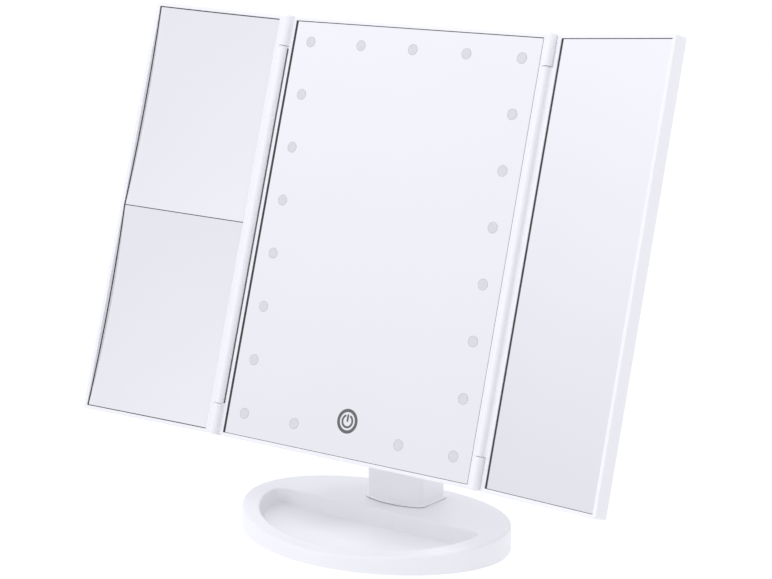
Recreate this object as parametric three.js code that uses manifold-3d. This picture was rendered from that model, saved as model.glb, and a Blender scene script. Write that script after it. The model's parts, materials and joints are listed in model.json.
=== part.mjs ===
// A tri-fold lighted vanity mirror on an oval base with a cosmetics tray.
// Millimetres, +Z up, +Y to the back, origin on the table under the middle of the base.
// The head group has its own frame: X to the right, Y up the glass, Z out of its face,
// and its origin on the glass in the middle of the top row of lights.
// Each wing group turns about its own hinge, with X away from the hinge along the wing.

import * as THREE from "three";
import { mergeVertices } from "three/addons/utils/BufferGeometryUtils.js";
import Module from "manifold-3d";

const wasm = await Module();
wasm.setup();

// ---------------------------------------------------------------- driving dimensions

const GAP = 0.3; // left between two pieces that touch
const WALL = 1.8; // moulded walls

// The head as it stands: lean from upright, and where its origin is.
const HEAD_LEAN = 17.16;
const HEAD_ORIGIN = [0, 35.15, 260.95];

// Centre glass and the frame round it.
const GLASS_HALF_WIDTH = 80.7;
const GLASS_TOP = 11.3;
const GLASS_BOTTOM = -220.2;
const GLASS_THICKNESS = 2;
const RIM_WIDTH = 2.15; // above and below the glass
const RIM_SIDE = 2.4; // beside the glass
const RIM_PROUD = 0.9; // how far the rim stands in front of the glass
const HEAD_DEPTH = 10.3; // from the rim to the back cover's outer face
const COVER_PLATE = 1.7;
const CORNER = 1.5;

// Lights: five across the top, seven more down each side, two more along the bottom.
const LIGHT_PITCH_X = 34.5;
const LIGHT_PITCH_Y = 29.7;
const LIGHT_ROWS_BELOW = 7;
const TOUCH_Y = -201;

// Wing hinges. The axis runs up the head, a little in front of the glass.
const HINGE_X = 86.1;
const HINGE_Z = 1.93;
const EAR_RADIUS = 2.93;
const EAR_LENGTH = 14.9; // below the glass edge, to the split line
const BARREL_RADIUS = 2.4;
const HINGE_PIN_RADIUS = 0.9;
const HINGE_PIN_LENGTH = 21;
const HINGE_HOLE = 1.2;
const EAR_WALL = 2; // left closed over the pin

// Wings, measured from the hinge axis.
const WING_GLASS_START = 6;
const WING_GLASS_END = 83.4;
const WING_END = 85.8;
const WING_DEPTH = 7.9;
const WING_COVER = 1.5;
const LEFT_FOLD = 11.13; // degrees forward of flat
const RIGHT_FOLD = 15.77;

// The two magnifying glasses of the left wing are thin and bent, the lower one more.
const BENT_THICKNESS = 1.5;
const UPPER_RADIUS = 850;
const LOWER_RADIUS = 700;

// Tilt hinge between the neck and the head, in the head's frame.
const TILT_Y = -207;
const TILT_Z = -24;
const TILT_RADIUS = 8;
const LUG_HALF_WIDTH = 8.1;
const SLOT_HALF_WIDTH = 9.3;
const TILT_PIN_RADIUS = 2;
const PIN_HOLE = 2.3;

// Battery box on the back cover, in the head's frame.
const BOX_HALF_WIDTH = 41;
const BOX_BOTTOM = -183;
const BOX_TOP = -115;
const BOX_BACK = -22;
const BAY_HALF_WIDTH = 23.6;
const BAY_BOTTOM = -175;
const BAY_TOP = -122.5;
const CELL_RADIUS = 5.2;
const CELL_LENGTH = 44.5;
const CELL_PITCH = 11.4;
const CELLS = 4;
const PLATE_REACH = [4.5, 4]; // half sizes of a contact plate, beside a cell's middle
const SHEET = 0.4; // thickness of the contact plates
const DOOR_THICKNESS = 1.5;
const DOOR_MARGIN = [1.6, 3]; // how far the door reaches past the bay, beside it and below it
const DOOR_LIP = 0.5; // of the box over the door's sliding edges
const DOOR_EDGE = 1; // how far those edges reach under the lip
const DOOR_TOP = BOX_TOP - 2; // below the box's rounded edge
const SWITCH_X = 32;
const SWITCH_Y = -140;
const SWITCH_TRAVEL = 3;
const SWITCH_HALF_WIDTH = 1.6;
const SWITCH_SLOT = [2, 4.2]; // half sizes of the slot in the box
const SWITCH_BODY = [3.4, 6]; // half sizes of the switch behind it
const SOCKET_Y = -160;
const SOCKET_Z = -15.5;
const SOCKET_HALF_SIZE = [3.8, 1.4];
const LEAD_Y = -130;
const LEAD_Z = -18;
const BOARD_BACK = -13.4; // the control board beside the bay
const BOARD_THICKNESS = 1.2;
const LED_BOARD_FACE = -5;
const LED_STRIP = 6; // half width of the light board's strips
const LED_HALF_SIZE = [1.4, 1.75];
const LED_HEIGHT = 0.8;

// Base: an oval whose top is arched from front to back.
const BASE_HALF_WIDTH = 80.2;
const BASE_HALF_DEPTH = 60;
const BASE_POWER = 1.92; // 2 is an ellipse
const BASE_HEIGHT = 13.35;
const BASE_RISE = 0.023; // slope of the top in the middle
const BASE_ARCH = 0.00116; // fall of the top, per millimetre squared
const BASE_EDGE = 1.3; // rounding of the top edge
const FOOT_HEIGHT = 1;
const FOOT_PROUD = 0.25; // how far the feet stand out below the skirt
const SKIRT_EDGE = 0.4; // bevel of the skirt's lower edge
const PLATE_THICKNESS = 2;
const TRAY_FLOOR = 5;
const TRAY_BACK = 2.6;
const TRAY_HALF_WIDTH = 68.3;
const TRAY_HALF_DEPTH = 52;
const TRAY_SLOPE = 0.3; // the walls lean out by this much of their height
const TRAY_CORNER = 6;
const FOOT_RADIUS = 5.5;

// Neck: an upright column with a bowed front, which then leans forward to the tilt hinge.
const NECK_HALF_WIDTH = 18.5;
const NECK_FRONT = 14;
const NECK_REAR = 45.2;
const NECK_BOW_RADIUS = 43;
const NECK_CORNER = 5;
const NECK_TAPER = 1.6;
const NECK_STRAIGHT_TO = 32;
const NECK_FOOT_FLARE = 1.1;
const NECK_BEND_HEIGHT = 48;

const SCREW_HEAD = 2.3;
const SCREW_SHANK = 1.1;
const SCREW_HOLE = 1.4;
const BOSS_RADIUS = 2.9;

// ---------------------------------------------------------------- materials

function material(color, roughness, metalness = 0) {
  return new THREE.MeshStandardMaterial({ color, roughness, metalness });
}

const WHITE = material(0xf4f4f8, 0.4);
const MIRROR = material(0xe8e8f0, 0.03, 1);
const FROSTED = material(0xe2e2e8, 0.55);
const BOARD = material(0xe9ebe6, 0.6);
const GREEN_BOARD = material(0x2f6a3e, 0.55);
const STEEL = material(0xb4b6ba, 0.3, 1);
const BRIGHT = material(0xd2d3d6, 0.2, 1);
const BLACK = material(0x2a2a2c, 0.55);
const RUBBER = material(0x8a8b90, 0.9);
const NYLON = material(0xdedfe0, 0.6);
const CELL = material(0x5d6b78, 0.35);
const RED = material(0xb8332d, 0.5);

// ---------------------------------------------------------------- solids

// A closed geometry as a manifold-3d solid.
function solid(geometry) {
  const plain = geometry.index ? geometry.toNonIndexed() : geometry.clone();
  plain.deleteAttribute("normal");
  plain.deleteAttribute("uv");
  const merged = mergeVertices(plain, 1e-4);
  return new wasm.Manifold(
    new wasm.Mesh({
      numProp: 3,
      vertProperties: merged.attributes.position.array,
      triVerts: new Uint32Array(merged.index.array),
    }),
  );
}

function geometryOf(shape) {
  const mesh = shape.getMesh();
  const geometry = new THREE.BufferGeometry();
  geometry.setAttribute("position", new THREE.BufferAttribute(mesh.vertProperties, 3));
  geometry.setIndex(new THREE.BufferAttribute(mesh.triVerts, 1));
  const faceted = geometry.toNonIndexed();
  faceted.computeVertexNormals();
  return faceted;
}

function piece(name, shape, surface) {
  const mesh = new THREE.Mesh(geometryOf(shape), surface);
  mesh.name = name;
  return mesh;
}

const join = (first, ...rest) => rest.reduce((sum, next) => sum.add(next), first);
const cut = (first, ...rest) => rest.reduce((left, next) => left.subtract(next), first);

// A box between two values on each axis, in either order.
function block(...spans) {
  const size = spans.map(([a, b]) => Math.abs(b - a));
  const middle = spans.map(([a, b]) => (a + b) / 2);
  return solid(new THREE.BoxGeometry(...size).translate(...middle));
}

// A round rod along x, y or z between two values, centred on the other two coordinates.
function rod(axis, radius, [from, to], [p, q], sides = 24) {
  const geometry = new THREE.CylinderGeometry(radius, radius, Math.abs(to - from), sides);
  const middle = (from + to) / 2;
  if (axis === "x") geometry.rotateZ(-Math.PI / 2).translate(middle, p, q);
  if (axis === "y") geometry.translate(p, middle, q);
  if (axis === "z") geometry.rotateX(Math.PI / 2).translate(p, q, middle);
  return solid(geometry);
}

function roundedRectangle([x0, x1], [y0, y1], radius) {
  const shape = new THREE.Shape();
  shape.moveTo(x0 + radius, y0);
  shape.lineTo(x1 - radius, y0);
  shape.absarc(x1 - radius, y0 + radius, radius, -Math.PI / 2, 0);
  shape.absarc(x1 - radius, y1 - radius, radius, 0, Math.PI / 2);
  shape.absarc(x0 + radius, y1 - radius, radius, Math.PI / 2, Math.PI);
  shape.absarc(x0 + radius, y0 + radius, radius, Math.PI, Math.PI * 1.5);
  return shape;
}

// A rounded rectangle extruded from z0 up to z1, with its z0 edge rounded over by soften.
function slab(xs, ys, [z0, z1], radius, soften = 0) {
  const inset = roundedRectangle(
    [xs[0] + soften, xs[1] - soften],
    [ys[0] + soften, ys[1] - soften],
    Math.max(radius - soften, 0.2),
  );
  const full = new THREE.ExtrudeGeometry(roundedRectangle(xs, ys, radius), {
    depth: z1 - z0 - soften,
    bevelEnabled: false,
    curveSegments: 3,
  }).translate(0, 0, z0 + soften);
  if (!soften) return solid(full);
  const softened = new THREE.ExtrudeGeometry(inset, {
    depth: z1 - z0 - 2 * soften,
    bevelThickness: soften,
    bevelSize: soften,
    bevelSegments: 2,
    curveSegments: 3,
  }).translate(0, 0, z0 + soften);
  return solid(full).add(solid(softened));
}

// A solid skinned over closed rings of equal point count, lowest first, each running
// anticlockwise from its foremost point and symmetric left to right.
function loft(rings) {
  const count = rings[0].length;
  const positions = rings.flat(2);
  const triangles = [];
  for (let r = 0; r + 1 < rings.length; r++) {
    for (let i = 0; i < count; i++) {
      const a = r * count + i;
      const b = r * count + ((i + 1) % count);
      triangles.push(a, b, b + count, a, b + count, a + count);
    }
  }
  const cap = (ring, flipped) => {
    for (let i = 0; i < count / 2; i++) {
      const corners = [i, i + 1, count - i - 1, (count - i) % count].map((k) => k + ring * count);
      const [a, b, c, d] = flipped ? corners.reverse() : corners;
      if (new Set([a, b, c]).size === 3) triangles.push(a, b, c);
      if (new Set([a, c, d]).size === 3) triangles.push(a, c, d);
    }
  };
  cap(0, true);
  cap(rings.length - 1, false);
  const geometry = new THREE.BufferGeometry();
  geometry.setAttribute("position", new THREE.Float32BufferAttribute(positions, 3));
  geometry.setIndex(triangles);
  return solid(geometry);
}

// Completes a ring from its right half, which runs from the foremost to the rearmost point.
function mirrored(half) {
  const left = half.slice(1, -1).map(([x, y]) => [-x, y]);
  return [...half, ...left.reverse()];
}

function arc([x, y], radius, from, to, steps) {
  return Array.from({ length: steps + 1 }, (_, i) => {
    const angle = from + ((to - from) * i) / steps;
    return [x + radius * Math.cos(angle), y + radius * Math.sin(angle)];
  });
}

// A pan-head screw pointing along +Z, its head's outer face at the origin.
function screw(length, headHeight = 1) {
  const outline = [
    [0, 0],
    [SCREW_HEAD, 0],
    [SCREW_HEAD, headHeight],
    [SCREW_SHANK, headHeight],
    [SCREW_SHANK, length - 1],
    [0, length],
  ].map(([x, y]) => new THREE.Vector2(x, y));
  return solid(new THREE.LatheGeometry(outline, 10).rotateX(Math.PI / 2));
}

// A round wire of few sides along smooth points.
function wire(points, radius) {
  const path = new THREE.CatmullRomCurve3(points.map((p) => new THREE.Vector3(...p)));
  const section = new THREE.Shape(new THREE.Path().absarc(0, 0, radius, 0, 2 * Math.PI).getPoints(3));
  return solid(new THREE.ExtrudeGeometry(section, { steps: 12, extrudePath: path }));
}

// ---------------------------------------------------------------- base

const baseTop = (y) => BASE_HEIGHT + BASE_RISE * y - BASE_ARCH * y * y;

// The base's oval, drawn in by inset, with a height for each point.
function baseRing(inset, height) {
  const points = 64;
  return Array.from({ length: points }, (_, i) => {
    const angle = -Math.PI / 2 + (2 * Math.PI * i) / points;
    const reach = (value) => Math.sign(value) * Math.abs(value) ** (2 / BASE_POWER);
    const x = (BASE_HALF_WIDTH - inset) * reach(Math.cos(angle));
    const y = (BASE_HALF_DEPTH - inset) * reach(Math.sin(angle));
    return [x, y, height(y)];
  });
}

// The tray's D outline: an ellipse in front, a straight back and rounded corners between.
function trayRing(inset, height) {
  const a = TRAY_HALF_WIDTH - inset;
  const b = TRAY_HALF_DEPTH - inset;
  const back = TRAY_BACK - inset;
  const radius = TRAY_CORNER;
  const normal = (t) => new THREE.Vector2(Math.cos(t) / a, Math.sin(t) / b).normalize();
  let low = -Math.PI / 2;
  let high = 0.2;
  for (let i = 0; i < 40; i++) {
    const t = (low + high) / 2;
    if (b * Math.sin(t) - radius * normal(t).y < back - radius) low = t;
    else high = t;
  }
  const front = Array.from({ length: 17 }, (_, i) => {
    const t = -Math.PI / 2 + ((low + Math.PI / 2) * i) / 16;
    return [a * Math.cos(t), b * Math.sin(t)];
  });
  const centre = [a * Math.cos(low) - radius * normal(low).x, back - radius];
  const corner = arc(centre, radius, Math.atan2(normal(low).y, normal(low).x), Math.PI / 2, 5);
  return mirrored([...front, ...corner.slice(1), [0, back]]).map(([x, y]) => [x, y, height]);
}

// The tray's space, grown by a wall for the material round it, from its floor upwards.
// The two lowest rings round off the foot of its walls.
function traySpace(grow, floor) {
  const level = (height, extra = 0) =>
    trayRing((BASE_HEIGHT - height) * TRAY_SLOPE + extra - grow, height);
  return loft([level(floor, 0.8), level(floor + 0.3, 0.3), level(floor + 0.9), level(BASE_HEIGHT + 4)]);
}

const BASE_SCREWS = [
  [73.2, -10],
  [-73.2, -10],
  [42, 38],
  [-42, 38],
];
const FEET = [
  [50, -30],
  [-50, -30],
  [50, 30],
  [-50, 30],
];
const NECK_CENTRE = (NECK_FRONT + NECK_REAR) / 2;
const NECK_SCREWS = [
  [9, NECK_CENTRE],
  [-9, NECK_CENTRE],
];

function baseShell() {
  const outside = loft([
    baseRing(SKIRT_EDGE, () => FOOT_PROUD),
    baseRing(0, () => FOOT_PROUD + SKIRT_EDGE),
    baseRing(0, (y) => baseTop(y) - BASE_EDGE),
    baseRing(BASE_EDGE * 0.3, (y) => baseTop(y) - BASE_EDGE * 0.3),
    baseRing(BASE_EDGE, baseTop),
  ]);
  const hollow = loft([baseRing(WALL + 0.4, () => 0), baseRing(WALL + 0.4, (y) => baseTop(y) - WALL)]);
  const trayWalls = traySpace(WALL, FOOT_HEIGHT + PLATE_THICKNESS + 0.4);
  const bosses = BASE_SCREWS.map((at) =>
    rod("z", BOSS_RADIUS, [FOOT_HEIGHT + PLATE_THICKNESS + GAP, baseTop(at[1]) - 1], at, 16),
  );
  const pilots = BASE_SCREWS.map((at) => rod("z", SCREW_HOLE, [0, 8.5], at, 12));
  const neckHoles = NECK_SCREWS.map((at) => rod("z", SCREW_HOLE, [6, BASE_HEIGHT + 3], at, 12));
  const body = join(cut(outside, cut(hollow, trayWalls)), ...bosses);
  return cut(body, traySpace(0, TRAY_FLOOR), ...pilots, ...neckHoles);
}

function basePlate() {
  const span = [FOOT_HEIGHT, FOOT_HEIGHT + PLATE_THICKNESS];
  const plate = loft(span.map((z) => baseRing(WALL + 0.4 + GAP, () => z)));
  const holes = BASE_SCREWS.map((at) => rod("z", SCREW_HOLE, [0, 9], at, 12));
  const wells = BASE_SCREWS.map((at) => rod("z", SCREW_HEAD + GAP, [0, FOOT_HEIGHT + 1.2], at, 16));
  return cut(plate, ...holes, ...wells);
}

// ---------------------------------------------------------------- neck

const tilt = THREE.MathUtils.degToRad(HEAD_LEAN);
const TILT_AXIS = [
  HEAD_ORIGIN[1] + TILT_Y * Math.sin(tilt) - TILT_Z * Math.cos(tilt),
  HEAD_ORIGIN[2] + TILT_Y * Math.cos(tilt) + TILT_Z * Math.sin(tilt),
];

// The neck's section in its own plane: bowed in front, sides drawn in towards the back.
function neckOutline(halfWidth, front, rear, corner) {
  const bow = NECK_BOW_RADIUS - corner;
  const across = halfWidth - corner;
  const frontCentre = front + NECK_BOW_RADIUS - Math.sqrt(bow * bow - across * across);
  const meets = Math.asin(across / bow) - Math.PI / 2;
  return mirrored([
    ...arc([0, front + NECK_BOW_RADIUS], NECK_BOW_RADIUS, -Math.PI / 2, meets, 4),
    ...arc([across, frontCentre], corner, meets, 0, 5).slice(1),
    ...arc([across - NECK_TAPER, rear - corner], corner, 0, Math.PI / 2, 4),
    [0, rear],
  ]);
}

function uprightRing(grow, height) {
  const outline = neckOutline(NECK_HALF_WIDTH + grow, NECK_FRONT - grow, NECK_REAR + grow, NECK_CORNER);
  return outline.map(([x, y]) => [x, y, height(y)]);
}

// Sections along the bend from the column to the tilt hinge, each square to the bend.
function leaningRing(along, inset) {
  const bend = new THREE.QuadraticBezierCurve(
    new THREE.Vector2(NECK_CENTRE, NECK_STRAIGHT_TO),
    new THREE.Vector2(NECK_CENTRE, NECK_BEND_HEIGHT),
    new THREE.Vector2(...TILT_AXIS),
  );
  const centre = bend.getPoint(along);
  const run = bend.getTangent(along);
  const halfDepth = THREE.MathUtils.lerp((NECK_REAR - NECK_FRONT) / 2, TILT_RADIUS, along) - inset;
  const corner = THREE.MathUtils.lerp(NECK_CORNER, 3, along);
  return neckOutline(NECK_HALF_WIDTH - inset, -halfDepth, halfDepth, corner).map(([x, t]) => [
    x,
    centre.x + t * run.y,
    centre.y - t * run.x,
  ]);
}

function neck() {
  const flare = (share, height) =>
    uprightRing(NECK_FOOT_FLARE * share, (y) => baseTop(y) + GAP + height);
  const [axisY, axisZ] = TILT_AXIS;
  const outside = loft([
    flare(1, 0),
    flare(1, 0.2),
    flare(0.4, 0.5),
    flare(0.1, 0.9),
    flare(0, 1.5),
    uprightRing(0, () => NECK_STRAIGHT_TO),
    ...[0.2, 0.4, 0.6, 0.8, 1].map((along) => leaningRing(along, 0)),
  ]);
  const hollow = loft([
    uprightRing(-WALL, () => 5),
    uprightRing(-WALL, () => NECK_STRAIGHT_TO),
    leaningRing(0.2, WALL),
    leaningRing(0.4, WALL),
  ]);
  const ribSpan = [-NECK_HALF_WIDTH + 1, NECK_HALF_WIDTH - 1];
  const rib = block(ribSpan, [NECK_CENTRE - 1, NECK_CENTRE + 1], [16, 25]);
  const bosses = NECK_SCREWS.map((at) => rod("z", BOSS_RADIUS, [14.5, 25], at, 12));
  const pilots = NECK_SCREWS.map((at) => rod("z", SCREW_HOLE, [5, 22.5], at, 12));
  const barrel = rod("x", TILT_RADIUS, [-NECK_HALF_WIDTH, NECK_HALF_WIDTH], TILT_AXIS);
  const slot = [-SLOT_HALF_WIDTH, SLOT_HALF_WIDTH];
  const clear = TILT_RADIUS + 0.6;
  const slots = [
    rod("x", clear, slot, TILT_AXIS),
    block(slot, [axisY - 30, axisY + clear], [axisZ, axisZ + 30]),
    block(slot, [axisY - 30, axisY], [axisZ - 20, axisZ + 1]),
  ];
  const pinHole = rod("x", PIN_HOLE, [-30, 30], TILT_AXIS, 16);
  return cut(join(cut(outside, hollow), rib, ...bosses, barrel), ...slots, pinHole, ...pilots);
}

function ring(axis, outer, inner, span, at) {
  return cut(rod(axis, outer, span, at, 20), rod(axis, inner, [span[0] - 1, span[1] + 1], at, 16));
}

function baseAssembly() {
  const group = new THREE.Group();
  group.add(piece("base_shell", baseShell(), WHITE));
  group.add(piece("base_plate", basePlate(), WHITE));
  FEET.forEach((at, i) => {
    group.add(piece(`rubber_foot_${i + 1}`, rod("z", FOOT_RADIUS, [0, FOOT_HEIGHT], at, 20), RUBBER));
  });
  BASE_SCREWS.forEach(([x, y], i) => {
    const mesh = piece(`base_screw_${i + 1}`, screw(7, 0.8), STEEL);
    mesh.position.set(x, y, FOOT_HEIGHT + 0.1);
    group.add(mesh);
  });
  group.add(piece("neck", neck(), WHITE));
  NECK_SCREWS.forEach(([x, y], i) => {
    const mesh = piece(`neck_screw_${i + 1}`, screw(12), STEEL);
    mesh.position.set(x, y, baseTop(y) - WALL - 1.5);
    group.add(mesh);
  });
  const pinEnd = NECK_HALF_WIDTH - GAP;
  group.add(piece("tilt_pin", rod("x", TILT_PIN_RADIUS, [-pinEnd, pinEnd], TILT_AXIS, 16), STEEL));
  for (const [side, name] of [[1, "right"], [-1, "left"]]) {
    const washer = [LUG_HALF_WIDTH + GAP, SLOT_HALF_WIDTH - GAP].map((x) => side * x);
    const cap = [NECK_HALF_WIDTH + GAP, NECK_HALF_WIDTH + 1.5].map((x) => side * x);
    const inOrder = (span) => [...span].sort((a, b) => a - b);
    group.add(piece(`friction_washer_${name}`, ring("x", 6, PIN_HOLE, inOrder(washer), TILT_AXIS), NYLON));
    group.add(piece(`tilt_cap_${name}`, rod("x", 5.6, inOrder(cap), TILT_AXIS, 20), WHITE));
  }
  return group;
}

// ---------------------------------------------------------------- head

const HEAD_X = [-(GLASS_HALF_WIDTH + RIM_SIDE), GLASS_HALF_WIDTH + RIM_SIDE];
const HEAD_Y = [GLASS_BOTTOM - RIM_WIDTH, GLASS_TOP + RIM_WIDTH];
const HEAD_BACK = RIM_PROUD - HEAD_DEPTH;
const FRAME_BACK = HEAD_BACK + COVER_PLATE + GAP;
const SHELF = -(GLASS_THICKNESS + GAP);
const SHELF_IN = 3.2; // how far the glass rests on the frame
const TOP_SPLIT = GLASS_TOP - EAR_LENGTH;
const BOTTOM_SPLIT = GLASS_BOTTOM + EAR_LENGTH;

const shrink = ([a, b], by) => [a + by, b - by];

// Where the glass lies, grown by a clearance.
const glassX = (grow) => [-GLASS_HALF_WIDTH - grow, GLASS_HALF_WIDTH + grow];
const glassY = (grow) => [GLASS_BOTTOM - grow, GLASS_TOP + grow];

const COVER_SCREWS = [
  [80.3, -20],
  [-80.3, -20],
  [80.3, -190],
  [-80.3, -190],
];

// The four hinge ears stand at the frame's corners, round the wing hinge axes.
const EAR_SPANS = [
  [TOP_SPLIT, HEAD_Y[1]],
  [HEAD_Y[0], BOTTOM_SPLIT],
];

function centreFrame() {
  const outside = slab(HEAD_X, HEAD_Y, [FRAME_BACK, RIM_PROUD], CORNER);
  const pocket = block(glassX(0.25), glassY(0.25), [SHELF, 10]);
  const through = block(glassX(-SHELF_IN), glassY(-SHELF_IN), [-20, 10]);
  const ears = EAR_SPANS.flatMap((span) =>
    [-1, 1].flatMap((side) => [
      rod("y", EAR_RADIUS, span, [side * HINGE_X, HINGE_Z], 28),
      block([side * (HEAD_X[1] - 0.6), side * HINGE_X], span, [-6, RIM_PROUD]),
    ]),
  );
  const pinHoles = [-1, 1].flatMap((side) => [
    rod("y", HINGE_HOLE, [TOP_SPLIT - 1, HEAD_Y[1] - EAR_WALL], [side * HINGE_X, HINGE_Z], 12),
    rod("y", HINGE_HOLE, [HEAD_Y[0] + EAR_WALL, BOTTOM_SPLIT + 1], [side * HINGE_X, HINGE_Z], 12),
  ]);
  const pilots = COVER_SCREWS.map((at) => rod("z", SCREW_HOLE, [-10, -3.6], at, 12));
  return cut(join(outside, ...ears), pocket, through, ...pinHoles, ...pilots);
}

function lightPlaces() {
  const places = [-2, -1, 0, 1, 2].map((column) => [column, 0]);
  for (let row = 1; row <= LIGHT_ROWS_BELOW; row++) places.push([-2, row], [2, row]);
  places.push([-1, LIGHT_ROWS_BELOW], [1, LIGHT_ROWS_BELOW]);
  return places.map(([column, row]) => [column * LIGHT_PITCH_X, -row * LIGHT_PITCH_Y]);
}

// A circuit board round three sides, with two feet along the bottom, and a light at each place.
function ledBoard() {
  const strip = LED_STRIP;
  const face = LED_BOARD_FACE;
  const [x, bottom] = [2 * LIGHT_PITCH_X, -LIGHT_ROWS_BELOW * LIGHT_PITCH_Y];
  const thickness = [face - BOARD_THICKNESS, face];
  const plate = cut(
    block([-x - strip, x + strip], [bottom - strip, strip], thickness),
    block([-x + strip, x - strip], [bottom + strip, -strip], [-20, 0]),
    block([-LIGHT_PITCH_X + strip, LIGHT_PITCH_X - strip], [bottom - 20, bottom + 20], [-20, 0]),
  );
  const [halfWidth, halfLength] = LED_HALF_SIZE;
  const lights = lightPlaces().map(([u, v]) =>
    block(
      [u - halfWidth, u + halfWidth],
      [v - halfLength, v + halfLength],
      [face - 0.5, face + LED_HEIGHT],
    ),
  );
  return join(plate, ...lights);
}

function rearCover() {
  const plateFront = HEAD_BACK + COVER_PLATE;
  const plate = slab(HEAD_X, HEAD_Y, [HEAD_BACK, plateFront], CORNER, 0.7);
  const box = slab(
    [-BOX_HALF_WIDTH, BOX_HALF_WIDTH],
    [BOX_BOTTOM, BOX_TOP],
    [BOX_BACK, plateFront - 0.2],
    5,
    1.5,
  );
  const bay = block(
    [-BAY_HALF_WIDTH, BAY_HALF_WIDTH],
    [BAY_BOTTOM, BAY_TOP],
    [BOX_BACK - 5, HEAD_BACK + 0.3],
  );
  const seatFront = BOX_BACK + DOOR_THICKNESS + GAP;
  const doorSeat = join(
    block(...doorSpans(0, GAP, BOX_TOP + 5), [BOX_BACK - 5, seatFront]),
    block(...doorSpans(DOOR_EDGE, GAP, BOX_TOP + 5), [BOX_BACK + DOOR_LIP, seatFront]),
  );
  const sideRooms = [-1, 1].map((side) =>
    block(
      [side * (BAY_HALF_WIDTH + WALL), side * (BOX_HALF_WIDTH - WALL)],
      [BOX_BOTTOM + WALL, BOX_TOP - WALL],
      [BOX_BACK + WALL, 0],
    ),
  );
  const lug = join(
    rod("x", TILT_RADIUS, [-LUG_HALF_WIDTH, LUG_HALF_WIDTH], [TILT_Y, TILT_Z]),
    block(
      [-LUG_HALF_WIDTH, LUG_HALF_WIDTH],
      [TILT_Y - TILT_RADIUS, TILT_Y + TILT_RADIUS],
      [TILT_Z, HEAD_BACK + 0.5],
    ),
  );
  const pinHole = rod("x", PIN_HOLE, [-20, 20], [TILT_Y, TILT_Z], 16);
  const screwHoles = COVER_SCREWS.map((at) => rod("z", SCREW_HOLE, [-20, 0], at, 12));
  const screwWells = COVER_SCREWS.map(([x, y]) =>
    rod("z", SCREW_HEAD + 0.2, [-20, HEAD_BACK + 1], [x, y], 16),
  );
  const switchSlot = block(...switchSpans(SWITCH_SLOT), [BOX_BACK - 5, BOX_BACK + 5]);
  const usbWindow = block([BOX_HALF_WIDTH - 5, BOX_HALF_WIDTH + 5], ...socketSpans(GAP));
  const leadHoles = [-1, 1].map((side) =>
    rod("x", 1.6, [side * (BAY_HALF_WIDTH - 1), side * (BAY_HALF_WIDTH + 4)], [LEAD_Y, LEAD_Z], 10),
  );
  return cut(
    join(plate, box, lug),
    bay,
    doorSeat,
    ...sideRooms,
    pinHole,
    ...screwHoles,
    ...screwWells,
    switchSlot,
    usbWindow,
    ...leadHoles,
  );
}

// The door's outline up to a height, widened by its sliding edges and grown by a clearance.
function doorSpans(edges, clearance, top) {
  const halfWidth = BAY_HALF_WIDTH + DOOR_MARGIN[0] + edges + clearance;
  return [
    [-halfWidth, halfWidth],
    [BAY_BOTTOM - DOOR_MARGIN[1] - clearance, top],
  ];
}

function switchSpans([halfWidth, halfHeight]) {
  return [
    [-SWITCH_X - halfWidth, -SWITCH_X + halfWidth],
    [SWITCH_Y - halfHeight, SWITCH_Y + halfHeight],
  ];
}

// Height and depth of the charging socket, grown by a clearance.
function socketSpans(grow) {
  return [SOCKET_Y, SOCKET_Z].map((middle, i) => [
    middle - SOCKET_HALF_SIZE[i] - grow,
    middle + SOCKET_HALF_SIZE[i] + grow,
  ]);
}

function usbSocket() {
  const [ys, zs] = socketSpans(0);
  const [inner, outer] = [BOX_HALF_WIDTH - 7, BOX_HALF_WIDTH - 0.6];
  const shell = cut(
    block([inner, outer], ys, zs),
    block([inner + 1, outer + 1], shrink(ys, 0.4), shrink(zs, 0.4)),
  );
  const tongue = block([inner + 0.5, outer - 1], shrink(ys, 1.6), [zs[0] + 1.1, zs[1] - 1.1]);
  return join(shell, tongue);
}

// The battery door slides up out of its seat on the thin edges under the box's lips.
function batteryDoor() {
  const back = [BOX_BACK, BOX_BACK + DOOR_THICKNESS];
  const plate = block(...doorSpans(0, 0, DOOR_TOP), back);
  const edges = block(...doorSpans(DOOR_EDGE, 0, DOOR_TOP), [BOX_BACK + DOOR_LIP + GAP, back[1]]);
  const grips = [0, 1, 2, 3].map((i) => {
    const low = BAY_BOTTOM + 6 + 3 * i;
    return block([-8, 8], [low, low + 1], [BOX_BACK - 0.5, BOX_BACK + 0.5]);
  });
  return join(plate, edges, ...grips);
}

// A dry cell standing along +Y from the origin, with its positive end up.
function dryCell() {
  const outline = [
    [0, 0],
    [CELL_RADIUS - 0.3, 0],
    [CELL_RADIUS, 0.4],
    [CELL_RADIUS, CELL_LENGTH - 1.4],
    [CELL_RADIUS - 0.4, CELL_LENGTH - 1],
    [2, CELL_LENGTH - 1],
    [2, CELL_LENGTH],
    [0, CELL_LENGTH],
  ].map(([x, y]) => new THREE.Vector2(x, y));
  return solid(new THREE.LatheGeometry(outline, 14));
}

class Coil extends THREE.Curve {
  constructor(radius, length, turns) {
    super();
    Object.assign(this, { radius, length, turns });
  }
  getPoint(t, target = new THREE.Vector3()) {
    const angle = 2 * Math.PI * this.turns * t;
    const radius = this.radius * (1 - 0.35 * t);
    return target.set(radius * Math.cos(angle), this.length * t, radius * Math.sin(angle));
  }
}

// A conical spring standing along +Y from the origin.
function contactSpring(length) {
  const section = new THREE.Shape(new THREE.Path().absarc(0, 0, 0.3, 0, 2 * Math.PI).getPoints(2));
  const path = new Coil(3.4, length - 0.6, 3);
  return solid(new THREE.ExtrudeGeometry(section, { steps: 27, extrudePath: path }).translate(0, 0.3, 0));
}

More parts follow.
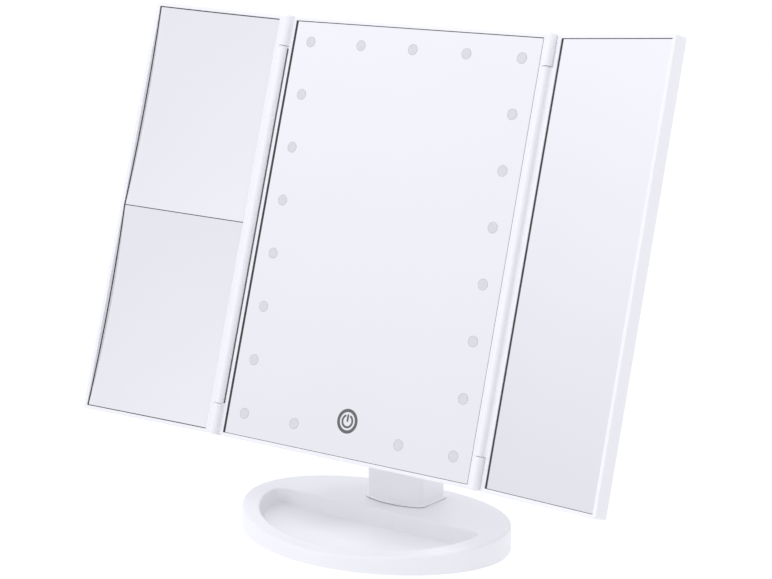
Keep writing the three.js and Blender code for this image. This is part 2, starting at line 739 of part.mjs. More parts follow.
const CELL_Z = BOX_BACK + DOOR_THICKNESS + GAP + CELL_RADIUS + 0.4;
const CELL_FLOOR = BAY_BOTTOM + (BAY_TOP - BAY_BOTTOM - CELL_LENGTH) / 2;
const cellX = (index) => (index - (CELLS - 1) / 2) * CELL_PITCH;

// A contact plate across one or two cells, with a pad where it meets a positive end.
function contactPlate(xs, atTop, padX) {
  const wall = atTop ? BAY_TOP - GAP : BAY_BOTTOM + GAP;
  const into = atTop ? -1 : 1;
  const plate = block(xs, [wall, wall + into * SHEET], [CELL_Z - PLATE_REACH[1], CELL_Z + PLATE_REACH[1]]);
  if (padX === undefined) return plate;
  const reach = CELL_FLOOR - BAY_BOTTOM - GAP;
  const pad = block([padX - 2, padX + 2], [wall, wall + into * (reach - GAP)], [CELL_Z - 2, CELL_Z + 2]);
  return plate.add(pad);
}

function addBatteries(group) {
  const springLength = CELL_FLOOR - BAY_BOTTOM - SHEET - 3 * GAP;
  for (let i = 0; i < CELLS; i++) {
    const flipped = i % 2 === 1;
    const cell = piece(`battery_${i + 1}`, dryCell(), CELL);
    cell.position.set(cellX(i), flipped ? CELL_FLOOR + CELL_LENGTH : CELL_FLOOR, CELL_Z);
    if (flipped) cell.rotation.x = Math.PI;
    group.add(cell);
    const spring = piece(`contact_spring_${i + 1}`, contactSpring(springLength), BRIGHT);
    const seat = SHEET + 2 * GAP;
    spring.position.set(cellX(i), flipped ? BAY_TOP - seat : BAY_BOTTOM + seat, CELL_Z);
    if (flipped) spring.rotation.x = Math.PI;
    group.add(spring);
  }
  const over = (i, j) => [cellX(i) - PLATE_REACH[0], cellX(j) + PLATE_REACH[0]];
  group.add(piece("link_plate_lower_left", contactPlate(over(0, 1), false, cellX(1)), BRIGHT));
  group.add(piece("link_plate_lower_right", contactPlate(over(2, 3), false, cellX(3)), BRIGHT));
  group.add(piece("link_plate_upper", contactPlate(over(1, 2), true, cellX(2)), BRIGHT));
  group.add(piece("terminal_plate_positive", contactPlate(over(0, 0), true, cellX(0)), BRIGHT));
  group.add(piece("terminal_plate_negative", contactPlate(over(3, 3), true), BRIGHT));
}

function addElectronics(group) {
  const diffuser = block(glassX(-SHELF_IN - GAP), glassY(-SHELF_IN - GAP), [-4, SHELF - 0.2]);
  group.add(piece("light_diffuser", diffuser, FROSTED));
  group.add(piece("led_board", ledBoard(), BOARD));
  const touch = join(
    block([-8, 8], [TOUCH_Y - 8, TOUCH_Y + 8], [-6.2, -5]),
    rod("z", 5.5, [-5.2, -4.4], [0, TOUCH_Y], 20),
  );
  group.add(piece("touch_board", touch, GREEN_BOARD));
  const roomX = [BAY_HALF_WIDTH + WALL + 1, BOX_HALF_WIDTH - WALL - 0.8];
  const boardFace = BOARD_BACK + BOARD_THICKNESS;
  const board = join(
    block(roomX, [BAY_BOTTOM - 1, BAY_TOP + 0.5], [BOARD_BACK, boardFace]),
    block([roomX[0] + 2, roomX[0] + 6], [-150, -144], [boardFace - 0.2, boardFace + 1.4]),
    block([roomX[0] + 3, roomX[0] + 7], [-172, -166], [boardFace - 0.2, boardFace + 2]),
  );
  group.add(piece("control_board", board, GREEN_BOARD));
  group.add(piece("usb_socket", usbSocket(), STEEL));
  const switchBody = block(...switchSpans(SWITCH_BODY), [BOX_BACK + WALL + 1.2, BOX_BACK + WALL + 5]);
  group.add(piece("power_switch_body", switchBody, BLACK));
  const leadZ = FRAME_BACK + 0.45;
  const lead = (shift) => [
    [roomX[0] + 2 + shift, -143, -11.6],
    [roomX[0] + 2 + shift, -138, -9.6],
    [roomX[0] + 2 + shift, -131, leadZ],
    [roomX[0] + 3 + shift, -120, leadZ],
    [roomX[0] + 22, -100 - shift, leadZ],
    [2 * LIGHT_PITCH_X - 4, -98 - shift, leadZ],
  ];
  group.add(piece("led_lead_red", wire(lead(0), 0.5), RED));
  group.add(piece("led_lead_black", wire(lead(3), 0.5), BLACK));
}

// The switch's knob at the lower end of its travel, with a ridge for the fingertip.
function switchKnob() {
  const xs = [-SWITCH_X - SWITCH_HALF_WIDTH, -SWITCH_X + SWITCH_HALF_WIDTH];
  const middle = SWITCH_Y - SWITCH_TRAVEL / 2;
  return join(
    block(xs, [middle - 2, middle + 2], [BOX_BACK - 1, BOX_BACK + WALL + 0.9]),
    block(xs, [middle - 0.5, middle + 0.5], [BOX_BACK - 1.5, BOX_BACK]),
  );
}

function headAssembly() {
  const head = new THREE.Group();
  head.position.set(...HEAD_ORIGIN);
  head.rotation.x = Math.PI / 2 - tilt;
  head.add(piece("centre_frame", centreFrame(), WHITE));
  head.add(piece("centre_mirror", block(glassX(0), glassY(0), [-GLASS_THICKNESS, 0]), MIRROR));
  head.add(piece("rear_cover", rearCover(), WHITE));
  addElectronics(head);
  addBatteries(head);
  COVER_SCREWS.forEach(([x, y], i) => {
    const mesh = piece(`cover_screw_${i + 1}`, screw(5.2, 0.8), STEEL);
    mesh.position.set(x, y, HEAD_BACK - 0.1);
    head.add(mesh);
  });
  for (const [side, name] of [[-1, "left"], [1, "right"]]) {
    const tops = {
      upper: HEAD_Y[1] - EAR_WALL - GAP,
      lower: HEAD_Y[0] + EAR_WALL + GAP + HINGE_PIN_LENGTH,
    };
    for (const [level, top] of Object.entries(tops)) {
      const pin = rod("y", HINGE_PIN_RADIUS, [top - HINGE_PIN_LENGTH, top], [side * HINGE_X, HINGE_Z], 12);
      head.add(piece(`wing_pin_${name}_${level}`, pin, STEEL));
    }
  }
  head.add(piece("battery_door", batteryDoor(), WHITE));
  head.add(piece("switch_knob", switchKnob(), BLACK));
  return head;
}

// ---------------------------------------------------------------- wings

// In a wing's frame Z is square to its glass, and the hinge axis is the Y axis.
const WING_GLASS = -HINGE_Z;
const WING_RIM = WING_GLASS + RIM_PROUD;
const WING_BACK = WING_RIM - WING_DEPTH;
const WING_FRAME_BACK = WING_BACK + WING_COVER + GAP;
const SPLIT = (GLASS_TOP + GLASS_BOTTOM) / 2;

const sided = (side, [from, to]) => [side * from, side * to].sort((a, b) => a - b);

// Cuts that keep a wing clear of the hinge ears at both ends.
function earClearance(side) {
  const xs = sided(side, [-5, EAR_RADIUS + GAP]);
  const zs = [-20, 10];
  return [
    block(xs, [TOP_SPLIT - GAP, HEAD_Y[1] + 5], zs),
    block(xs, [HEAD_Y[0] - 5, BOTTOM_SPLIT + GAP], zs),
  ];
}

function wingFrame(side, shelf) {
  const glassSpan = sided(side, [WING_GLASS_START - 0.25, WING_GLASS_END + 0.25]);
  const outside = slab(sided(side, [0, WING_END]), HEAD_Y, [WING_FRAME_BACK, WING_RIM], CORNER);
  const pocket = block(glassSpan, glassY(0.25), [WING_GLASS - shelf, 10]);
  const through = block(
    sided(side, [WING_GLASS_START + 3, WING_GLASS_END - 3]),
    glassY(-SHELF_IN),
    [-20, 10],
  );
  const barrelSpan = [BOTTOM_SPLIT + GAP, TOP_SPLIT - GAP];
  const barrel = rod("y", BARREL_RADIUS, barrelSpan, [0, 0], 28);
  const web = block(sided(side, [0, 3]), barrelSpan, [WING_RIM - 1, WING_RIM + 0.6]);
  const pinDepth = HINGE_PIN_LENGTH - (HEAD_Y[1] - EAR_WALL - GAP - TOP_SPLIT) + 1;
  const pinHoles = [
    rod("y", HINGE_HOLE, [TOP_SPLIT - pinDepth, TOP_SPLIT + 1], [0, 0], 12),
    rod("y", HINGE_HOLE, [BOTTOM_SPLIT - 1, BOTTOM_SPLIT + pinDepth], [0, 0], 12),
  ];
  const body = join(cut(outside, ...earClearance(side)), barrel, web);
  return cut(body, pocket, through, ...pinHoles);
}

function wingCover(side) {
  const plate = slab(
    sided(side, [0, WING_END]),
    HEAD_Y,
    [WING_BACK, WING_BACK + WING_COVER],
    CORNER,
    0.7,
  );
  return cut(plate, ...earClearance(side));
}

const glassSpanOf = (side) => sided(side, [WING_GLASS_START, WING_GLASS_END]);

function flatGlass(side, ys) {
  return block(glassSpanOf(side), ys, [WING_GLASS - GLASS_THICKNESS, WING_GLASS]);
}

// A thin glass hollowed to a radius, with its four corners in the plane of a flat one.
function bentGlass(side, ys, radius) {
  const spans = [glassSpanOf(side), ys];
  const size = spans.map(([low, high]) => high - low);
  const middle = spans.map(([low, high]) => (low + high) / 2);
  const geometry = new THREE.BoxGeometry(...size, BENT_THICKNESS, 8, 12, 1);
  const points = geometry.attributes.position;
  const corner = Math.hypot(...size) / 2;
  for (let i = 0; i < points.count; i++) {
    const reach = Math.hypot(points.getX(i), points.getY(i));
    points.setZ(i, points.getZ(i) - (corner ** 2 - reach ** 2) / (2 * radius));
  }
  return solid(geometry.translate(...middle, WING_GLASS - BENT_THICKNESS / 2));
}

// Builds a wing. Its frame holds the glasses on a shelf that lies this far below their plane.
function wingAssembly(side, name, fold, shelf, glasses) {
  const wing = new THREE.Group();
  wing.position.set(side * HINGE_X, 0, HINGE_Z);
  wing.rotation.y = -side * THREE.MathUtils.degToRad(fold);
  wing.add(piece(`${name}_wing_frame`, wingFrame(side, shelf), WHITE));
  wing.add(piece(`${name}_wing_cover`, wingCover(side), WHITE));
  for (const [glassName, glass] of Object.entries(glasses)) {
    wing.add(piece(glassName, glass, MIRROR));
  }
  return wing;
}

// ---------------------------------------------------------------- the whole mirror

const vanityMirror = new THREE.Group();
const head = headAssembly();
const deepestEdge = ((GLASS_TOP - GLASS_BOTTOM) / 4) ** 2 / (2 * LOWER_RADIUS);
head.add(
  wingAssembly(-1, "left", LEFT_FOLD, deepestEdge + BENT_THICKNESS + GAP, {
    left_upper_mirror: bentGlass(-1, [SPLIT + GAP, GLASS_TOP], UPPER_RADIUS),
    left_lower_mirror: bentGlass(-1, [GLASS_BOTTOM, SPLIT - GAP], LOWER_RADIUS),
  }),
  wingAssembly(1, "right", RIGHT_FOLD, GLASS_THICKNESS + GAP, {
    right_mirror: flatGlass(1, [GLASS_BOTTOM, GLASS_TOP]),
  }),
);
vanityMirror.add(baseAssembly(), head);

export default vanityMirror;
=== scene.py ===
"""Looks of the lighted vanity mirror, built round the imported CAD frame. Runs in Blender 4.5."""

import json
import math

import bmesh
import bpy
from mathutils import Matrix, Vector


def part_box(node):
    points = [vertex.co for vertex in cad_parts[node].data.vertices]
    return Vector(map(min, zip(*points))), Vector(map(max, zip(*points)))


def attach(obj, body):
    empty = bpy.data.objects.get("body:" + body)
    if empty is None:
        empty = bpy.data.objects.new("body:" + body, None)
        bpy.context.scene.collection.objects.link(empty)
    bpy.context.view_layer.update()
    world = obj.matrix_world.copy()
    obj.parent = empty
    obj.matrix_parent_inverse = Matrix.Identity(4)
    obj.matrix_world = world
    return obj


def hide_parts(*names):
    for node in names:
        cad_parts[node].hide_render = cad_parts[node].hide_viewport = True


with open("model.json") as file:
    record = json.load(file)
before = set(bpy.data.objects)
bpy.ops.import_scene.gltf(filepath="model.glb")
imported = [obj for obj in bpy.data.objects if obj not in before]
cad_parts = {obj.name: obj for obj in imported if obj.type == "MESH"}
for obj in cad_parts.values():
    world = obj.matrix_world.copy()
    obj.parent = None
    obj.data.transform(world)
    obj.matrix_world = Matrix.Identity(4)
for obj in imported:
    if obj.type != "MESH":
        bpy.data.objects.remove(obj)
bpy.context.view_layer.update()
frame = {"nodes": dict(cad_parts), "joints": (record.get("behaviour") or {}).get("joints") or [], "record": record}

# ---------------------------------------------------------------- dimensions, in millimetres

MM = 0.001
GAP = 0.3  # between neighbouring pieces
WALL = 1.8
SINK = 0.02  # keeps faces that meet apart

# The head: X to the right, V up the glass, W out of the glass.
GLASS_HALF_WIDTH = 80.7
GLASS_TOP = 11.3
GLASS_BOTTOM = -220.2
GLASS_THICKNESS = 2
RIM_WIDTH = 2.15
RIM_SIDE = 2.4
RIM_PROUD = 0.9
RIM_OUTER_ROUND = 0.6
RIM_INNER_ROUND = 0.12
HEAD_DEPTH = 10.3
COVER_PLATE = 1.7
CORNER = 1.5
HEAD_HALF_WIDTH = GLASS_HALF_WIDTH + RIM_SIDE
HEAD_LOW = GLASS_BOTTOM - RIM_WIDTH
HEAD_HIGH = GLASS_TOP + RIM_WIDTH
HEAD_BACK = RIM_PROUD - HEAD_DEPTH
FRAME_BACK = HEAD_BACK + COVER_PLATE
SHELF = -2.3
SHELF_IN = 3.2
GLASS_CORNER = 0.25
COVER_ROUND = 0.9

LIGHT_PITCH_X = 34.5
LIGHT_PITCH_Y = 29.7
LIGHT_ROWS_BELOW = 7
LIGHT_RADIUS = 3.05
LIGHT_PROUD = 0.06
LIGHT_SUNK = -0.3
LIGHT_OUTLINE = 0.4

# The power sign: middle, ring and arc as (radius, width), and the bar.
TOUCH_V = -201
TOUCH_RING = (5.7, 1.75)
TOUCH_ARC = (3.2, 1.15)
TOUCH_ARC_ENDS = (122, 418)
TOUCH_BAR_HALF_WIDTH = 0.55
TOUCH_BAR = (-0.4, 3.75)
TOUCH_BAR_ROUND = 0.5
TOUCH_HEIGHTS = (-0.2, 0.05)

HINGE_X = 86.1
HINGE_V = -104.45
HINGE_W = 1.93
EAR_RADIUS = 2.93
EAR_LENGTH = 14.9
EAR_FILLET = 0.8
EAR_END_ROUND = 0.9
EAR_ROOT = (3.6, -7.9)
EAR_PLAY = 0.25
BARREL_RADIUS = 2.4
BARREL_FILLET = 1.2
BARREL_ROOT = (0.4, 4.2)
TOP_SPLIT = GLASS_TOP - EAR_LENGTH
BOTTOM_SPLIT = GLASS_BOTTOM + EAR_LENGTH

# A wing: X from its hinge, V as on the head, W over its hinge axis.
WING_GLASS_START = 6
WING_GLASS_END = 83.4
WING_END = 85.8
WING_DEPTH = 7.9
WING_COVER = 1.4
WING_SHELF_IN = 3
WING_GLASS = -HINGE_W
WING_RIM = WING_GLASS + RIM_PROUD
WING_BACK = WING_RIM - WING_DEPTH
GLASS_SPLIT = (GLASS_TOP + GLASS_BOTTOM) / 2
SPLIT_GAP = 0.25
BENT_THICKNESS = 1.2
UPPER_RADIUS = 850
LOWER_RADIUS = 700
BENT_SHELF = 4.2

# A shallow bevel runs down both sides of each glass. A black lining, the glasses' black edges and painted
# shade, covers the rim's inner wall and the floor of the gap between rim and glass. End gaps are given as (below,
# above).
BEVEL = 1.2
BEVEL_DROP = 0.12
SIDE_GAP = 0.2
CENTRE_RIGHT_GAP = 0.72
END_GAPS = {"left": (0.34, 0.4), "centre": (0.12, 0.24), "right": (0.15, 0.25)}
CENTRE_EDGE_HIGH = 0.76
WING_EDGE_HIGH = 0.45
EDGE_UNDER = 1.0
EDGE_SKIN = 0.1
EDGE_DEPTHS = (0.2, 0.5)
SPLIT_FILLER = (-0.9, -0.12)
# The dark strip of painted shade in each hinge channel.
CHANNEL_SHADE_STRIP = (-0.15, 0.2)
CHANNEL_SHADE_STRIP_TOP = -BARREL_RADIUS - 0.7
BENT_CELLS = 24

# The tilt hinge between neck and head.
TILT_V = -207
TILT_W = -24
TILT_RADIUS = 8
TILT_CLEARANCE = 0.6
LUG_HALF_WIDTH = 8.1
SLOT_HALF_WIDTH = 9.3
SLOT_DEPTH = 20
PIN_HOLE = 2.3
NECK_CUTTER_REACH = 30
CUTTER_REACH = 20
OVERCUT = 5
KNUCKLE_STEPS = 64
HOLE_STEPS = 32

# The battery box on the back, with its door, cells, switch and charging socket.
BOX_HALF_WIDTH = 41
BOX_LOW = -183
BOX_HIGH = -115
BOX_BACK = -22
BOX_CORNER = 5
BOX_ROUND = 2
BAY_HALF_WIDTH = 23.6
BAY_LOW = -175
BAY_HIGH = -122.5
DOOR_THICKNESS = 1.5
DOOR_LIP = 0.5
DOOR_EDGE = 1
DOOR_SIDE = 1.6
DOOR_BELOW = 3
DOOR_TOP = BOX_HIGH - 2
GRIP_COUNT = 4
GRIP_HALF_WIDTH = 8
GRIP_PITCH = 3
GRIP_LOW = BAY_LOW + 6
CELL_RADIUS = 5.2
CELL_LENGTH = 44.5
CELL_PITCH = 11.4
CELL_LOW = (BAY_LOW + BAY_HIGH - CELL_LENGTH) / 2
CELL_W = BOX_BACK + DOOR_THICKNESS + GAP + CELL_RADIUS + 0.4
SWITCH_X = 32
SWITCH_V = -140
SWITCH_TRAVEL = 3
SWITCH_WINDOW = (2, 4.2)
KNOB_HALF_WIDTH = 1.6
KNOB_HALF_LENGTH = 2
KNOB_PROUD = 1
KNOB_RIDGE_PITCH = 1.2
SOCKET_V = -160
SOCKET_W = -15.5
SOCKET_HALF = (3.8, 1.4)
SOCKET_WALL = 0.35
SOCKET_CORNER = 1.3
SOCKET_SPAN = (BOX_HALF_WIDTH - 7, BOX_HALF_WIDTH - 0.6)
COVER_SCREWS = [(80.3, -20), (-80.3, -20), (80.3, -190), (-80.3, -190)]
COVER_SCREW_LENGTH = 5.2
COVER_SCREW_SUNK = 0.1
SCREW_HEAD = 2.3
SCREW_HEAD_HEIGHT = 0.8
SCREW_DOME = 0.3
SCREW_SHANK = 1.05
SCREW_RECESS_DEPTH = 0.65
SCREW_RECESS = (1.3, 0.28)

# The base and its tray: X to the right, Y to the back, Z up.
BASE_HALF_WIDTH = 80.2
BASE_HALF_DEPTH = 60
BASE_POWER = 1.92
BASE_HEIGHT = 13.35
BASE_RISE = 0.023
BASE_ARCH = 0.00116
BASE_EDGE = 1.3
SKIRT = 0.25
SKIRT_EDGE = 0.3
HOLLOW_INSET = WALL + 0.4
TRAY_FLOOR = 5
TRAY_BACK = 2.6
TRAY_HALF_WIDTH = 68.3
TRAY_HALF_DEPTH = 52
TRAY_SLOPE = 0.3
TRAY_CORNER = 6
TRAY_EDGE = 0.7
TRAY_FILLET = 0.9
TRAY_MIDDLE = -20
FOOT_ROUND = 0.4

NECK_HALF_WIDTH = 18.5
NECK_FRONT = 14
NECK_REAR = 45.2
NECK_BOW_RADIUS = 43
NECK_CORNER = 5
NECK_TOP_CORNER = 3
NECK_TAPER = 1.6
NECK_STRAIGHT_TO = 32
NECK_FOOT_FLARE = 1.1
NECK_FOOT_EDGE = 0.2
NECK_BEND_HEIGHT = 48
# A dark ring of painted shade fills the seam under the neck's foot.
SEAM_SHADE_INSET = 0.25
SEAM_SHADE_PLAY = 0.03
CAP_ROUND = 0.5
NECK_MIDDLE = (NECK_FRONT + NECK_REAR) / 2

# ---------------------------------------------------------------- places

joints = {joint["name"]: joint for joint in frame["joints"]}
ACROSS = Vector((1, 0, 0))
UP = Vector(joints["left_wing_fold"]["axis"])
OUT = ACROSS.cross(UP)
left_hinge = Vector(joints["left_wing_fold"]["pos_m"])
HEAD_ORIGIN = left_hinge - (UP * HINGE_V + OUT * HINGE_W - ACROSS * HINGE_X) * MM
tilt_axis = Vector(joints["head_tilt"]["pos_m"]) / MM


def at_world(point):
    return Vector(point) * MM


def at_head(point):
    u, v, w = point
    return HEAD_ORIGIN + (ACROSS * u + UP * v + OUT * w) * MM


def at_wing(side):
    """Places points given as (distance from the hinge, V, height over the hinge axis)."""
    name = "right_wing_fold" if side > 0 else "left_wing_fold"
    fold = math.radians(-joints[name]["range_deg"][0])

    def place(point):
        x, v, z = point
        u = side * (HINGE_X + x * math.cos(fold) - z * math.sin(fold))
        return at_head((u, v, HINGE_W + x * math.sin(fold) + z * math.cos(fold)))

    return place


# ---------------------------------------------------------------- mesh tools


def arc(centre, radius, start, end, steps):
    """Points on a circle arc, with angles in degrees."""
    angles = [math.radians(start + (end - start) * i / steps) for i in range(steps + 1)]
    return [(centre[0] + radius * math.cos(a), centre[1] + radius * math.sin(a)) for a in angles]


def circle(centre, radius, steps=36):
    """Points all round a circle."""
    return arc(centre, radius, 0, 360 - 360 / steps, steps - 1)


def quarter(steps):
    """Sines and cosines from 0 to 90 degrees."""
    angles = [math.pi / 2 * i / steps for i in range(steps + 1)]
    return [(math.sin(a), math.cos(a)) for a in angles]


def rounded_rectangle(xs, ys, radius, steps=6):
    """Points round a rectangle with rounded corners, anticlockwise from the lower right."""
    x0, x1 = min(xs), max(xs)
    y0, y1 = min(ys), max(ys)
    corners = [(x1 - radius, y0 + radius), (x1 - radius, y1 - radius),
               (x0 + radius, y1 - radius), (x0 + radius, y0 + radius)]
    points = []
    for quarter, corner in enumerate(corners):
        points += arc(corner, radius, 90 * quarter - 90, 90 * quarter, steps)
    return points


def shrunk(span, by):
    """A span drawn in at both ends."""
    return (min(span) + by, max(span) - by)


def level(outline, height):
    """An outline's points, all at one height."""
    return [(x, y, height) for x, y in outline]


def ring_faces(count, rings, closed):
    """Quads between rings of points. Closed joins the last ring to the first."""
    pairs = [(r, r + 1) for r in range(rings - 1)]
    if closed:
        pairs.append((rings - 1, 0))
    faces = []
    for a, b in pairs:
        for i in range(count):
            j = (i + 1) % count
            faces.append((a * count + i, a * count + j, b * count + j, b * count + i))
    return faces


def solid(rings, place, closed=False):
    """A closed skin over rings of equal point count, with caps or, where closed, without."""
    count = len(rings[0])
    faces = ring_faces(count, len(rings), closed)
    if not closed:
        faces.append(tuple(range(count)))
        faces.append(tuple(range((len(rings) - 1) * count, len(rings) * count)))
    return solid_of([p for ring in rings for p in ring], faces, place)


def in_scene(name, data):
    """A new object, linked into the scene."""
    made = bpy.data.objects.new(name, data)
    bpy.context.scene.collection.objects.link(made)
    return made


def solid_of(points, faces, place):
    """An object of these faces, merged where points meet, with its faces turned outwards."""
    mesh = bpy.data.meshes.new("solid")
    mesh.from_pydata([place(p) for p in points], [], faces)
    tidy = bmesh.new()
    tidy.from_mesh(mesh)
    bmesh.ops.remove_doubles(tidy, verts=tidy.verts, dist=1e-7)
    bmesh.ops.recalc_face_normals(tidy, faces=tidy.faces)
    tidy.to_mesh(mesh)
    tidy.free()
    return in_scene("solid", mesh)


def combined(first, others, operation):
    """The first solid with the others added or taken away."""
    for other in others:
        step = first.modifiers.new("combine", "BOOLEAN")
        step.operation = operation
        step.solver = "EXACT"
        step.object = other
    ready = first.evaluated_get(bpy.context.evaluated_depsgraph_get())
    mesh = bpy.data.meshes.new_from_object(ready)
    first.modifiers.clear()
    first.data = mesh
    for other in others:
        bpy.data.objects.remove(other)
    return first


def joined(first, *others):
    return combined(first, others, "UNION")


def cut(first, *others):
    return combined(first, others, "DIFFERENCE")


def gathered(solids):
    """Several separate solids as one object."""
    shape = bmesh.new()
    for one in solids:
        shape.from_mesh(one.data)
        bpy.data.objects.remove(one)
    mesh = bpy.data.meshes.new("solid")
    shape.to_mesh(mesh)
    shape.free()
    return in_scene("solid", mesh)


def block(xs, ys, zs, place):
    """A box with all but sharp edges."""
    return solid([level(rounded_rectangle(xs, ys, 1e-3, 1), z) for z in sorted(zs)], place)


def rounded_ends(span, round_low, round_high, steps):
    """(inset, height) from the lower to the upper end of a solid, either end rounded over."""
    low, high = sorted(span)
    lower, upper = (quarter(steps) if radius else [(0, 1)] for radius in (round_low, round_high))
    ends = [(round_low * (1 - s), low + round_low * (1 - c)) for s, c in lower]
    return ends + [(round_high * (1 - c), high - round_high * (1 - s)) for s, c in upper]


def slab(xs, ys, zs, radius, place, round_low=0, round_high=0, steps=5):
    """A rounded rectangle from one height to the other, either edge rounded over."""
    rings = []
    for inset, height in rounded_ends(zs, round_low, round_high, steps):
        outline = rounded_rectangle(shrunk(xs, inset), shrunk(ys, inset), max(radius - inset, 0.15))
        rings.append(level(outline, height))
    return solid(rings, place)


def along(axis, place):
    """Turns (p, q, distance) into the place's own X, V, W, with distance along the axis."""
    order = {"x": (2, 0, 1), "v": (0, 2, 1), "w": (0, 1, 2)}[axis]
    return lambda point: place(tuple(point[i] for i in order))


def rod(axis, radius, span, centre, place, edge=0.0, steps=48, rounds=3):
    """A round rod, centred on its other two coordinates, with rounded ends."""
    rings = []
    for inset, height in rounded_ends(span, edge, edge, rounds):
        rings.append(level(circle(centre, radius - inset, steps), height))
    return solid(rings, along(axis, place))


def inset_outline(points, by):
    """A closed outline drawn in, corners mitred. The outline runs anticlockwise."""
    count = len(points)
    made = []
    for i in range(count):
        before = Vector(points[i]) - Vector(points[i - 1])
        after = Vector(points[(i + 1) % count]) - Vector(points[i])
        n0 = Vector((-before.y, before.x)).normalized()
        n1 = Vector((-after.y, after.x)).normalized()
        step = (n0 + n1) / max(1 + n0.dot(n1), 0.3)
        made.append(tuple(Vector(points[i]) + step * by))
    return made


def prism(outline, span, place, round_low=0.0, round_high=0.0, steps=5):
    """An outline in X and W drawn along V, either end rounded over."""
    rings = []
    for inset, v in rounded_ends(span, round_low, round_high, steps):
        rings.append(level(inset_outline(outline, inset), v))
    return solid(rings, along("v", place))


# Edges sharper than these angles, in degrees, stay sharp.
PLASTIC_ANGLE = 32
GLASS_ANGLE = 10


def shaded(made, angle):
    """Smooth shading that keeps edges sharper than the angle."""
    for face in made.data.polygons:
        face.use_smooth = True
    made.data.set_sharp_from_angle(angle=math.radians(angle))
    even = made.modifiers.new("even_normals", "WEIGHTED_NORMAL")
    even.keep_sharp = True
    return made


def piece(made, name, body, slot, *stands_for, finish=None, angle=PLASTIC_ANGLE):
    """Finishes a solid as a named piece that rides on a body and stands for CAD nodes.
    It gets the material of its slot unless another finish is given."""
    made.name = name
    made.data.name = name
    made.data.materials.clear()
    made.data.materials.append(finish or BY_SLOT[slot])
    shaded(made, angle)
    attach(made, body)
    if stands_for:
        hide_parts(*stands_for)
    return made


# ---------------------------------------------------------------- materials

GRAIN_HEIGHT = 0.05


def noise(tree, scale, detail):
    """Noise in the object's own coordinates."""
    where = tree.nodes.new("ShaderNodeTexCoord")
    made = tree.nodes.new("ShaderNodeTexNoise")
    made.inputs["Scale"].default_value = scale
    made.inputs["Detail"].default_value = detail
    tree.links.new(where.outputs["Object"], made.inputs["Vector"])
    return made.outputs["Fac"]


def surface(name, colour, other, roughness, scale, grain=0.0, grain_scale=3000, **settings):
    """A procedural surface: two close colours, uneven roughness and, where given, a fine grain.
    The settings are other sockets of the shader."""
    made = bpy.data.materials.new(name)
    made.use_nodes = True
    tree = made.node_tree
    nodes, links = tree.nodes, tree.links
    shader = nodes["Principled BSDF"]
    for socket, value in settings.items():
        shader.inputs[socket].default_value = value
    patches = noise(tree, scale, 4)
    tint = nodes.new("ShaderNodeValToRGB")
    for element, at, shade in zip(tint.color_ramp.elements, (0.3, 0.7), (colour, other)):
        element.position = at
        element.color = (*shade, 1)
    links.new(patches, tint.inputs["Fac"])
    links.new(tint.outputs["Color"], shader.inputs["Base Color"])
    sheen = nodes.new("ShaderNodeMapRange")
    sheen.inputs["To Min"].default_value = roughness[0]
    sheen.inputs["To Max"].default_value = roughness[1]
    links.new(patches, sheen.inputs["Value"])
    links.new(sheen.outputs["Result"], shader.inputs["Roughness"])
    if grain:
        bump = nodes.new("ShaderNodeBump")
        bump.inputs["Strength"].default_value = grain
        bump.inputs["Distance"].default_value = GRAIN_HEIGHT * MM
        links.new(noise(tree, grain_scale, 2), bump.inputs["Height"])
        links.new(bump.outputs["Normal"], shader.inputs["Normal"])
    return made


# Three finishes for details that share a slot with something else.
window_edge = surface(
    "window_edge", (0.56, 0.565, 0.58), (0.59, 0.595, 0.61),
    roughness=(0.5, 0.65), scale=500, grain=0.2, grain_scale=4000)
# Black for the glasses' edges and the joint between stacked glasses, also used as painted shade in the gap round
# each glass, in the hinge channels and in the seam under the neck.
edge_and_shade_black = surface(
    "glass_edge_and_shade_black", (0.085, 0.087, 0.085), (0.105, 0.107, 0.105),
    roughness=(0.45, 0.6), scale=200, grain=0.1)
print_grey = surface(
    "touch_symbol_grey", (0.105, 0.11, 0.106), (0.122, 0.127, 0.123),
    roughness=(0.4, 0.5), scale=400, grain=0.1, grain_scale=4000)

